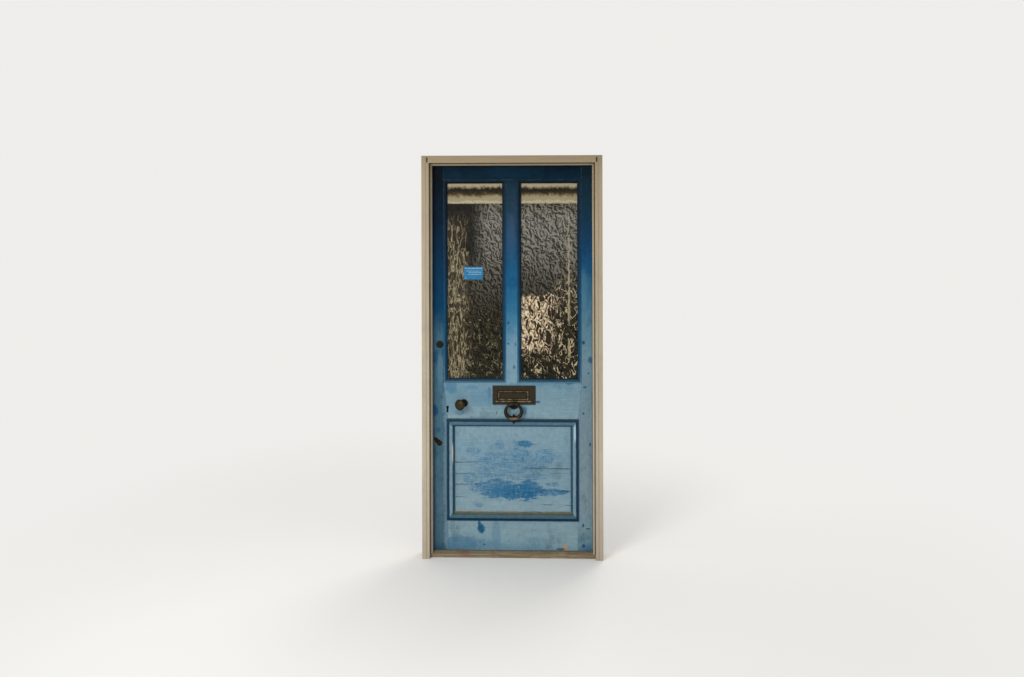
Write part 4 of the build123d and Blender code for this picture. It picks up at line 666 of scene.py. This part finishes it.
for pane in ("left", "right"):
    low_corner, high_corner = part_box(f"glass_{pane}")
    width, height = high_corner.x - low_corner.x, high_corner.z - low_corner.z
    thickness = high_corner.y - low_corner.y
    bpy.ops.object.select_all(action="DESELECT")
    bpy.ops.mesh.primitive_grid_add(
        x_subdivisions=int(width / GRID_STEP), y_subdivisions=int(height / GRID_STEP / GRID_STRETCH),
        size=1.0, rotation=(math.pi / 2, 0.0, 0.0),
        location=((low_corner.x + high_corner.x) / 2, low_corner.y, 0.0))
    sheet = bpy.context.object
    sheet.name = f"obscured_glass_{pane}"
    sheet.scale = (width, height / RIPPLE_STRETCH, 1.0)
    bpy.ops.object.transform_apply(location=True, rotation=True, scale=True)
    pressing = sheet.modifiers.new("pressing", "DISPLACE")
    pressing.texture = ripple
    pressing.texture_coords = "LOCAL"
    pressing.mid_level = 0.0
    pressing.strength = -RIPPLE_DEPTH
    bpy.ops.object.modifier_apply(modifier="pressing")
    sheet.scale = (1.0, 1.0, RIPPLE_STRETCH)
    sheet.location = (0.0, 0.0, (low_corner.z + high_corner.z) / 2)
    bpy.ops.object.transform_apply(location=True, rotation=True, scale=True)
    smoothing = sheet.modifiers.new("smoothing", "SMOOTH")
    smoothing.factor = 0.5
    smoothing.iterations = 2
    bpy.ops.object.modifier_apply(modifier="smoothing")
    walls = sheet.modifiers.new("walls", "SOLIDIFY")
    walls.thickness = thickness - 2 * RIPPLE_DEPTH
    walls.offset = -1.0
    bpy.ops.object.modifier_apply(modifier="walls")
    bpy.ops.object.shade_smooth_by_angle(angle=math.radians(50))

    inner_face = sheet.data.attributes.new("inner_face", "FLOAT", "FACE")
    for face in sheet.data.polygons:
        inner_face.data[face.index].value = float(face.normal.y > 0.0)

    glass, tree, shader = new_material(f"obscured_glass_{pane}", 0.22)
    place, axes = places(tree)
    # Painted light and shade on the hollows: paler where the glass rises towards the light above, darker
    # where it falls away, with painted shade in the creases
    above = put(tree, "ShaderNodeVectorMath", {0: place, 1: LIGHT_STEP}, operation="ADD").outputs[0]
    swell = swell_at(tree, place)
    lit = spread(tree, minus(tree, swell_at(tree, above), swell), -0.066, 0.066)
    broken = cloud(tree, place, 30.0, 2.0)
    crease = spread(tree, gap_to(tree, swell, 0.47), 0.034, 0.010)
    crease = times(tree, crease, spread(tree, broken, 0.47, 0.56))
    painted_line = gap_to(tree, cloud(tree, stretched(tree, place, (44.0, 44.0, 22.0)), 1.0, 1.5, 0.5, 1.3), 0.5)
    pale = tones_by_height(tree, axes["Z"], [
        (0.90, (36, 33, 15)), (1.05, (40, 36, 18)), (1.25, (52, 48, 33)), (1.40, (82, 79, 70)),
        (1.55, (122, 119, 110)), (1.72, (132, 130, 122)), (1.80, (106, 102, 90))])
    dark = tones_by_height(tree, axes["Z"], [
        (0.90, (4, 3, 0)), (1.25, (7, 5, 1)), (1.45, (28, 25, 18)), (1.72, (58, 55, 47)),
        (1.80, (30, 26, 15))])
    colour = blend(tree, lit, dark, pale)
    colour = tinted(tree, colour, crease, 0.85, (22, 18, 10))
    low_fleck, fleck_tone = (0.5, (156, 146, 116)) if pane == "left" else (0.95, (190, 176, 142))
    # Pale flecks of painted light along the ridges, low in each pane
    fleck = spread(tree, painted_line, spread(tree, axes["Z"], 1.10, 0.98, 0.024, 0.050), 0.006)
    fleck = times(tree, fleck, spread(tree, axes["Z"], 1.42, 1.15))
    fleck = times(tree, fleck, spread(tree, broken, 0.46, 0.56))
    fleck = times(tree, fleck, spread(tree, axes["Z"], 1.10, 0.96, 0.55, low_fleck))
    colour = blend(tree, fleck, colour, shade(*fleck_tone))
    if pane == "left":
        shadow = times(tree, spread(tree, axes["X"], -0.11, -0.22), spread(tree, axes["Z"], 1.30, 1.58))
        colour = tinted(tree, colour, shadow, 0.96, (9, 6, 0))
        # Pale streaks at the left of the left pane, a painted reflection over a darker ground
        streaks = cloud(tree, stretched(tree, place, (64.0, 64.0, 15.0)), 1.0, 2.0, 0.5, 1.0)
        streaks = spread(tree, gap_to(tree, streaks, 0.5), 0.050, 0.014)
        drift = times(tree, minus(tree, broken, 0.5), 0.12)
        streaked = spread(tree, plus(tree, axes["X"], drift), -0.215, -0.262)
        streaked = times(tree, streaked, spread(tree, axes["Z"], 1.78, 1.62))
        colour = tinted(tree, colour, streaked, 0.5, (58, 50, 32))
        colour = tinted(tree, colour, times(tree, streaks, streaked), 0.85, (156, 144, 116))
    else:
        # A pale field low in the right pane, painted as seen through the glass, with dark strands and pale
        # curls
        drift = minus(tree, cloud(tree, place, 16.0, 3.0), 0.5)
        across = plus(tree, axes["X"], times(tree, drift, 0.16))
        up = plus(tree, axes["Z"], times(tree, drift, 0.10))
        pale_field = times(tree, spread(tree, up, 1.345, 1.325), spread(tree, up, 1.02, 1.06))
        pale_field = times(tree, spread(tree, across, 0.235, 0.175), pale_field)
        strand = spread(tree, painted_line, spread(tree, across, 0.02, 0.21, 0.19, 0.075), 0.02)
        curls = times(tree, spread(tree, painted_line, 0.042, 0.012), spread(tree, broken, 0.42, 0.54))
        curled = times(tree, spread(tree, axes["X"], 0.20, 0.24), spread(tree, axes["Z"], 1.50, 1.34))
        colour = blend(tree, times(tree, curls, curled), colour, shade(186, 170, 136))
        inside = blend(tree, lit, shade(158, 136, 104), shade(228, 210, 180))
        inside = blend(tree, strand, shade(44, 34, 20), inside)
        colour = blend(tree, times(tree, pale_field, 0.95), colour, inside)
        wave = minus(tree, cloud(tree, stretched(tree, place, (4.0, 4.0, 20.0)), 1.0, 2.0), 0.5)
        glint = gap_to(tree, plus(tree, axes["X"], times(tree, wave, 0.030)), GLINT_X)
        glint = times(tree, spread(tree, glint, 0.0065, 0.002), spread(tree, broken, 0.38, 0.5))
        glint = times(tree, glint, spread(tree, axes["Z"], 0.96, 1.02))
        colour = tinted(tree, colour, glint, 0.8, (158, 148, 120))
    # A pale band at the head of each pane, a painted reflection
    wobble = plus(tree, times(tree, minus(tree, swell, 0.5), 0.030),
                  times(tree, minus(tree, cloud(tree, place, 90.0, 3.0), 0.5), 0.014))
    head_tone = tones_by_height(tree, plus(tree, axes["Z"], wobble), [
        (1.800, (96, 90, 78)), (1.808, (186, 176, 148)), (1.816, (164, 155, 126)), (1.822, (140, 130, 102)),
        (1.836, (146, 136, 106)), (1.853, (62, 48, 20)), (1.866, (18, 10, 0)), (1.884, (20, 12, 0)),
        (1.891, (160, 148, 118)), (1.920, (158, 146, 118))])
    colour = blend(tree, spread(tree, axes["Z"], *HEAD_BAND), colour, head_tone)
    # The room side shows only painted light and shade on the hollows
    from_inside = put(tree, "ShaderNodeAttribute", attribute_name="inner_face").outputs["Fac"]
    colour = blend(tree, from_inside, colour, blend(tree, lit, shade(92, 92, 86), shade(150, 150, 142)))
    tree.links.new(colour, shader.inputs["Base Color"])
    shader.inputs["Roughness"].default_value = 0.14
    shader.inputs["IOR"].default_value = 1.45
    shader.inputs["Transmission Weight"].default_value = 0.08
    sheet.data.materials.clear()
    sheet.data.materials.append(glass)
    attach(sheet, "leaf")
    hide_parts(f"glass_{pane}")


# A small paper sticker on the outside of the left pane: plain blue, its corners rounded, with a few
# paler bands across it.

STICKER_X = (-0.250, -0.151)
STICKER_Z = (1.413, 1.478)
STICKER_THICKNESS = 0.0004
STICKER_CORNER = 0.004
BAND_END = 0.0015
BAND_EDGE = 0.0008

# The bands, as (z, half height, x from, x to)
STICKER_BANDS = ((1.470, 0.0030, -0.247, -0.155), (1.456, 0.0014, -0.240, -0.156),
                 (1.448, 0.0022, -0.225, -0.158), (1.4385, 0.0018, -0.232, -0.158),
                 (1.420, 0.0030, -0.245, -0.237))

glass_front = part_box("glass_left")[0].y
bpy.ops.object.select_all(action="DESELECT")
bpy.ops.mesh.primitive_plane_add(size=1.0, rotation=(math.pi / 2, 0.0, 0.0), location=(
    sum(STICKER_X) / 2, glass_front - STICKER_THICKNESS, sum(STICKER_Z) / 2))
sticker = bpy.context.object
sticker.name = "window_sticker"
sticker.scale = (STICKER_X[1] - STICKER_X[0], STICKER_Z[1] - STICKER_Z[0], 1.0)
bpy.ops.object.transform_apply(location=True, rotation=True, scale=True)
bpy.ops.object.mode_set(mode="EDIT")
bpy.ops.mesh.select_all(action="SELECT")
bpy.ops.mesh.bevel(offset=STICKER_CORNER, segments=4, affect="VERTICES")
bpy.ops.object.mode_set(mode="OBJECT")
paper = sticker.modifiers.new("paper", "SOLIDIFY")
paper.thickness = STICKER_THICKNESS
paper.offset = 1.0
bpy.ops.object.modifier_apply(modifier="paper")
sticker_print, tree, shader = new_material("sticker_print", 0.4)
place, axes = places(tree)
colour = blend(tree, spread(tree, cloud(tree, place, 60.0), 0.3, 0.7, 0.0, 0.5), shade(2, 94, 136),
               shade(8, 112, 158))
for up, half_height, from_x, to_x in STICKER_BANDS:
    level = spread(tree, gap_to(tree, axes["Z"], up), half_height + BAND_EDGE, half_height - BAND_EDGE)
    level = times(tree, level, between(tree, axes["X"], from_x + BAND_END, to_x - BAND_END, BAND_END))
    thin = spread(tree, cloud(tree, place, 150.0, 3.0), 0.38, 0.55, 0.35, 0.9)
    colour = blend(tree, times(tree, level, thin), colour, shade(122, 164, 190))
tree.links.new(colour, shader.inputs["Base Color"])
shader.inputs["Roughness"].default_value = 0.35
sticker.data.materials.append(sticker_print)
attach(sticker, "leaf")


# Bronze: the letter plate and its flap, the knocker, the knobs and the cylinder ring are castings
# that have gone dark brown, and shine a little only where hands and letters rub their edges. Painted
# highlights lie along the same edges.

def old_bronze(name, body, rubbed_and_highlit, edge_width=0.0012, edge_strength=0.7, roughness=0.42, worn_and_highlit_places=(),
               shaded_neck=None):
    """Tarnished bronze, with worn places and painted highlights, each as (x, z, reach x, reach z, colour,
    strength), and a span in Y where a knob's neck is painted dark as shade."""
    material, tree, shader = new_material(name, 0.4)
    shader.inputs["Metallic"].default_value = 0.75
    place = object_place(tree)
    mottle = cloud(tree, place, 110.0, 5.0, 0.65)
    colour = blend(tree, spread(tree, mottle, 0.3, 0.7), shade(*[v * 0.72 for v in body]), shade(*body))
    green = spread(tree, cloud(tree, place, 48.0, 5.0, 0.7), 0.56, 0.72, 0.0, 0.35)
    colour = blend(tree, green, colour, shade(52, 62, 50))
    for across, up, reach_x, reach_z, tone, strength in worn_and_highlit_places:
        mark = front_stain(tree, across, up, reach_x, reach_z, (90.0, 90.0, 90.0), 0.8, 0.5)
        colour = tinted(tree, colour, mark, strength, tone)
    if shaded_neck:
        depth = put(tree, "ShaderNodeSeparateXYZ", {0: place}).outputs["Y"]
        colour = blend(tree, spread(tree, depth, shaded_neck[0], shaded_neck[1], 0.0, 0.85), colour, shade(18, 14, 8))
    colour = rubbed_and_highlit_edges(tree, colour, edge_width, 70.0, edge_strength, rubbed_and_highlit)
    colour = dirtied_and_shaded(tree, colour, 0.005, 40.0, 0.8, (20, 18, 12))
    rough = spread(tree, mottle, 0.2, 0.8, roughness - 0.1, roughness + 0.16)
    finish(tree, shader, colour, rough, mottle, 0.0003)
    return material


letter_bronze = old_bronze("old_bronze_letter_plate", (56, 50, 37), (140, 120, 86), 0.0013, 0.8)
# On the ring, the copper at the foot is wear, and the olive patch on its top is a painted highlight
ring_bronze = old_bronze("old_bronze_ring", (40, 37, 31), (98, 86, 64), 0.0015, 0.5, 0.40, [
    (0.006, 0.708, 0.032, 0.006, (136, 108, 86), 0.65), (0.006, 0.783, 0.016, 0.006, (104, 96, 62), 0.6)])
# The boss and the strike are a darker copy of the bronze, partly painted shade from the ring over them
boss_bronze = old_bronze("old_bronze_boss", (32, 27, 19), (66, 54, 36), 0.0012, 0.4, 0.5)
# The knob's neck is painted dark, as shade between its head and the rose
knob_bronze = old_bronze("old_bronze_knob", (60, 52, 31), (94, 80, 50), 0.0015, 0.4, 0.44,
                         shaded_neck=(-0.026, -0.018))
inner_knob_bronze = old_bronze("old_bronze_inner_knob", (84, 72, 46), (128, 108, 70), 0.0015, 0.5, 0.4)
cylinder_bronze = old_bronze("old_bronze_cylinder", (31, 27, 12), (66, 55, 32), 0.001, 0.4, 0.55)

# The letter plate has painted shade in the narrow gap round its flap and along a line further in on the
# flap, and painted highlights on the rim just inside the gap and along a lip below the flap
RIM_INSIDE = 0.0030
RIM_WIDTH = 0.0032
GAP_OUTSIDE = 0.0020
GAP_WIDTH = 0.0036
FIELD_INSIDE = 0.0085
FIELD_WIDTH = 0.0032
LIP_BELOW = 0.0075
LIP_WIDTH = 0.0035
LINE_SOLID = 0.0016

tree = letter_bronze.node_tree
shader = shader_of(tree)
flap_low, flap_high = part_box("letter_flap")
place, axes = places(tree)
outside = []
for axis, low, high in (("X", flap_low.x, flap_high.x), ("Z", flap_low.z, flap_high.z)):
    outside.append(minus(tree, gap_to(tree, axes[axis], (low + high) / 2), (high - low) / 2))
outside = calc(tree, "MAXIMUM", outside[0], outside[1])
# Patches along which the painted highlights on the rim and the lip lie
rubbed_and_highlit = spread(tree, cloud(tree, place, 52.0, 5.0, 0.75), 0.42, 0.58, 0.12, 1.0)
rim = spread(tree, gap_to(tree, outside, -RIM_INSIDE), RIM_WIDTH, LINE_SOLID)
gap = spread(tree, gap_to(tree, outside, GAP_OUTSIDE), GAP_WIDTH, LINE_SOLID)
field = spread(tree, gap_to(tree, outside, -FIELD_INSIDE), FIELD_WIDTH, LINE_SOLID)
colour = shader.inputs["Base Color"].links[0].from_socket
colour = tinted(tree, colour, field, 0.75, (16, 13, 7))
colour = tinted(tree, colour, gap, 0.8, (18, 15, 9))
colour = blend(tree, times(tree, rim, rubbed_and_highlit), colour, shade(138, 118, 84))
lip = spread(tree, gap_to(tree, axes["Z"], flap_low.z - LIP_BELOW), LIP_WIDTH, 0.0015)
lip = times(tree, lip, spread(tree, outside, 0.012, 0.010))
colour = tinted(tree, colour, times(tree, lip, rubbed_and_highlit), 0.9, (146, 130, 98))
tree.links.new(colour, shader.inputs["Base Color"])
for node in ("letter_plate", "letter_flap", "letter_flap_pin", "letter_plate_bolts"):
    paint_node(node, letter_bronze)
paint_node("knocker_ring", ring_bronze)
for node in ("knocker_boss", "knocker_strike"):
    paint_node(node, boss_bronze)
for node in ("knob_rose", "outer_knob"):
    paint_node(node, knob_bronze)
paint_node("inner_knob", inner_knob_bronze)
for node in ("night_latch_cylinder", "night_latch_plug"):
    paint_node(node, cylinder_bronze)


# Iron: the cover that swings over the deadlock's keyhole has rusted through its paint to a rough
# brown scale, on a rivet that is as brown.

rust_iron, tree, shader = new_material("rusty_iron", 0.06)
place = object_place(tree)
scale_noise = cloud(tree, place, 260.0, 6.0, 0.7)
colour = blend(tree, spread(tree, scale_noise, 0.35, 0.65), shade(17, 12, 6), shade(46, 31, 13))
orange = spread(tree, cloud(tree, place, 120.0, 5.0, 0.7), 0.52, 0.66, 0.0, 0.75)
colour = blend(tree, orange, colour, shade(66, 44, 20))
finish(tree, shader, colour, 0.85, scale_noise, 0.0008)
paint_node("keyhole_cover", rust_iron)
paint_node("keyhole_cover_rivet", rust_iron)


# Steel: hinges, pins, screws, bolts, the spindle and the deadlock, dull and faintly brown.

dull_steel, tree, shader = new_material("dull_steel", 0.5)
place = object_place(tree)
lines = brushed(tree, (90.0, 90.0, 30.0))["Lines"]
colour = blend(tree, spread(tree, lines, 0.3, 0.7), shade(104, 100, 94), shade(138, 134, 126))
brown = spread(tree, cloud(tree, place, 60.0, 6.0, 0.7), 0.5, 0.68, 0.0, 0.6)
colour = blend(tree, brown, colour, shade(92, 72, 50))
colour = dirtied_and_shaded(tree, colour, 0.004, 40.0, 0.7, (34, 28, 22))
shader.inputs["Metallic"].default_value = 0.9
finish(tree, shader, colour, spread(tree, lines, 0.2, 0.8, 0.34, 0.55), lines, 0.0002)
hinge_pieces = [f"hinge_{level}_{part}" for level in ("top", "middle", "bottom")
                for part in ("frame_flap", "leaf_flap", "pin")]
for node in ["knob_spindle", "rim_latch_bolt", "rim_dead_bolt", "night_latch_bolt", "deadlock_bolt",
             "deadlock_case", "deadlock_strike", "hinge_frame_screws", "hinge_leaf_screws", *hinge_pieces]:
    paint_node(node, dull_steel)


# Fixing screws inside: slotted round heads that hold the two lock cases to the leaf and their keeps
# to the frame, each left with its slot at the angle where it pulled tight.

SCREW_RADIUS = 0.0046
SCREW_STAND = 0.0018
SCREW_INSET = 0.0105
SLOT_WIDTH = 0.0013
SLOT_DEPTH = 0.0010
HEAD_ROUNDING = 0.0011
TURN_STEP = 0.7


def slotted_head(x, face_y, z, turn):
    """A low round head standing on a face that looks inside, with its slot turned by an angle."""
    bpy.ops.object.select_all(action="DESELECT")
    bpy.ops.mesh.primitive_cylinder_add(vertices=32, radius=SCREW_RADIUS, depth=SCREW_STAND, rotation=(
        math.pi / 2, 0.0, 0.0), location=(x, face_y + SCREW_STAND / 2, z))
    head = bpy.context.object
    bpy.ops.object.transform_apply(location=True, rotation=True, scale=True)
    dome = head.modifiers.new("dome", "BEVEL")
    dome.width = HEAD_ROUNDING
    dome.segments = 4
    dome.limit_method = "ANGLE"
    bpy.ops.object.modifier_apply(modifier="dome")
    bpy.ops.mesh.primitive_cube_add(size=1.0, rotation=(0.0, turn, 0.0),
                                    location=(x, face_y + SCREW_STAND, z))
    blade = bpy.context.object
    blade.scale = (3 * SCREW_RADIUS, 2 * SLOT_DEPTH, SLOT_WIDTH)
    bpy.ops.object.transform_apply(location=True, rotation=True, scale=True)
    bpy.context.view_layer.objects.active = head
    slot = head.modifiers.new("slot", "BOOLEAN")
    slot.object = blade
    slot.operation = "DIFFERENCE"
    slot.solver = "EXACT"
    bpy.ops.object.modifier_apply(modifier="slot")
    bpy.data.objects.remove(blade)
    return head


for body, group, across_ends in (("leaf", ("rim_lock_case", "night_latch_case"), True),
                                 ("frame", ("rim_lock_keep", "night_latch_keep"), False)):
    heads = []
    for fitting in group:
        low_corner, high_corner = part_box(fitting)
        if across_ends:
            columns = (low_corner.x + SCREW_INSET, high_corner.x - SCREW_INSET)
        else:
            columns = ((low_corner.x + high_corner.x) / 2,)
        for column in columns:
            for row in (low_corner.z + SCREW_INSET, high_corner.z - SCREW_INSET):
                heads.append(slotted_head(column, high_corner.y, row, TURN_STEP * len(heads)))
    bpy.ops.object.select_all(action="DESELECT")
    for head in heads:
        head.select_set(True)
    bpy.context.view_layer.objects.active = heads[0]
    bpy.ops.object.join()
    heads[0].name = f"{body}_fitting_screws"
    heads[0].data.materials.clear()
    heads[0].data.materials.append(dull_steel)
    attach(heads[0], body)


# Black stoved paint: the cases of the rim lock and the night latch, their keeps and the turn.

black_paint, tree, shader = new_material("black_stoved_paint", 0.4)
place = object_place(tree)
skin = cloud(tree, place, 140.0, 3.0, 0.6)
colour = blend(tree, spread(tree, skin, 0.3, 0.7), shade(24, 24, 25), shade(36, 35, 34))
colour = rubbed_and_highlit_edges(tree, colour, 0.0012, 60.0, 0.75, (112, 104, 92))
finish(tree, shader, colour, spread(tree, skin, 0.2, 0.8, 0.32, 0.5), skin, 0.0002)
for node in ("rim_lock_case", "rim_lock_keep", "night_latch_case", "night_latch_keep", "night_latch_turn"):
    paint_node(node, black_paint)


# The studio: a plain pale floor that the frame stands on, a pale surround, and soft even light with
# a little more of it from above and to the left.

FLOOR_SIZE = 40.0
FLOOR_DROP = 0.0005
FLOOR_FADE = (0.8, 3.0)
SURROUND = (0.86, 0.85, 0.83, 1.0)
FILL_STRENGTH = 0.70

bpy.ops.object.select_all(action="DESELECT")
bpy.ops.mesh.primitive_plane_add(size=FLOOR_SIZE, location=(0.0, 0.0, -FLOOR_DROP))
floor = bpy.context.object
floor.name = "floor"
floor_paint, tree, shader = new_material("pale_floor", 0.2)
shader.inputs["Base Color"].default_value = (0.80, 0.79, 0.77, 1.0)
shader.inputs["Roughness"].default_value = 0.9
place = object_place(tree)
far = put(tree, "ShaderNodeVectorMath", {0: place}, operation="LENGTH").outputs["Value"]
camera_ray = put(tree, "ShaderNodeLightPath").outputs["Is Camera Ray"]
far = times(tree, spread(tree, far, *FLOOR_FADE), camera_ray)
glow = put(tree, "ShaderNodeEmission", {"Color": SURROUND})
runs_out = put(tree, "ShaderNodeMixShader", {0: far, 1: shader.outputs[0], 2: glow.outputs[0]})
output = next(n for n in tree.nodes if n.type == "OUTPUT_MATERIAL")
tree.links.new(runs_out.outputs[0], output.inputs["Surface"])
floor.data.materials.append(floor_paint)

world = bpy.data.worlds.new("studio")
bpy.context.scene.world = world
world.use_nodes = True
tree = world.node_tree
tree.nodes.clear()
path = put(tree, "ShaderNodeLightPath").outputs
seen = calc(tree, "MAXIMUM", path["Is Camera Ray"],
            calc(tree, "MAXIMUM", path["Is Glossy Ray"], path["Is Transmission Ray"]))
fill = put(tree, "ShaderNodeBackground", {"Color": (1.0, 0.99, 0.97, 1.0), "Strength": FILL_STRENGTH})
backdrop = put(tree, "ShaderNodeBackground", {"Color": SURROUND, "Strength": 1.0})
mixed = put(tree, "ShaderNodeMixShader", {0: seen, 1: fill.outputs[0], 2: backdrop.outputs[0]})
put(tree, "ShaderNodeOutputWorld", {"Surface": mixed.outputs[0]})


MIDDLE_OF_DOOR = Vector((0.0, 0.0, 1.0))


def soft_lamp(name, place, size, power):
    """A large square lamp that faces the middle of the door."""
    lamp_data = bpy.data.lights.new(name, "AREA")
    lamp_data.size = size
    lamp_data.energy = power
    lamp = bpy.data.objects.new(name, lamp_data)
    bpy.context.scene.collection.objects.link(lamp)
    lamp.location = place
    direction = MIDDLE_OF_DOOR - Vector(place)
    lamp.rotation_euler = direction.to_track_quat("-Z", "Y").to_euler()


soft_lamp("key_lamp", (-2.0, -3.6, 2.5), 1.6, 105.0)
soft_lamp("back_lamp", (2.0, 3.6, 3.2), 2.4, 80.0)


# The camera: 4.6 m in front of the leaf, above eye height and a little to the right. It looks straight
# ahead, and its frame is shifted down to take in the foot of the door.

CAMERA_DISTANCE = 4.60
CAMERA_HEIGHT = 1.827
CAMERA_X = 0.15
FOCAL_PIXELS = 898.0
PHOTO_WIDTH = 1024
HORIZON_ROW = 199.0
MIDDLE_ROW = 338.5
CAMERA_ROLL = 0.15
SENSOR_WIDTH = 36.0

leaf_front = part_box("lock_rail")[0].y
camera_data = bpy.data.cameras.new("camera")
camera_data.sensor_width = SENSOR_WIDTH
camera_data.lens = FOCAL_PIXELS / PHOTO_WIDTH * SENSOR_WIDTH
camera_data.shift_y = -(MIDDLE_ROW - HORIZON_ROW) / PHOTO_WIDTH
camera = bpy.data.objects.new("camera", camera_data)
bpy.context.scene.collection.objects.link(camera)
camera.location = (CAMERA_X, leaf_front - CAMERA_DISTANCE, CAMERA_HEIGHT)
camera.rotation_euler = (math.pi / 2, math.radians(CAMERA_ROLL), math.atan(CAMERA_X / CAMERA_DISTANCE))
bpy.context.scene.camera = camera
bpy.context.scene.view_settings.view_transform = "Standard"
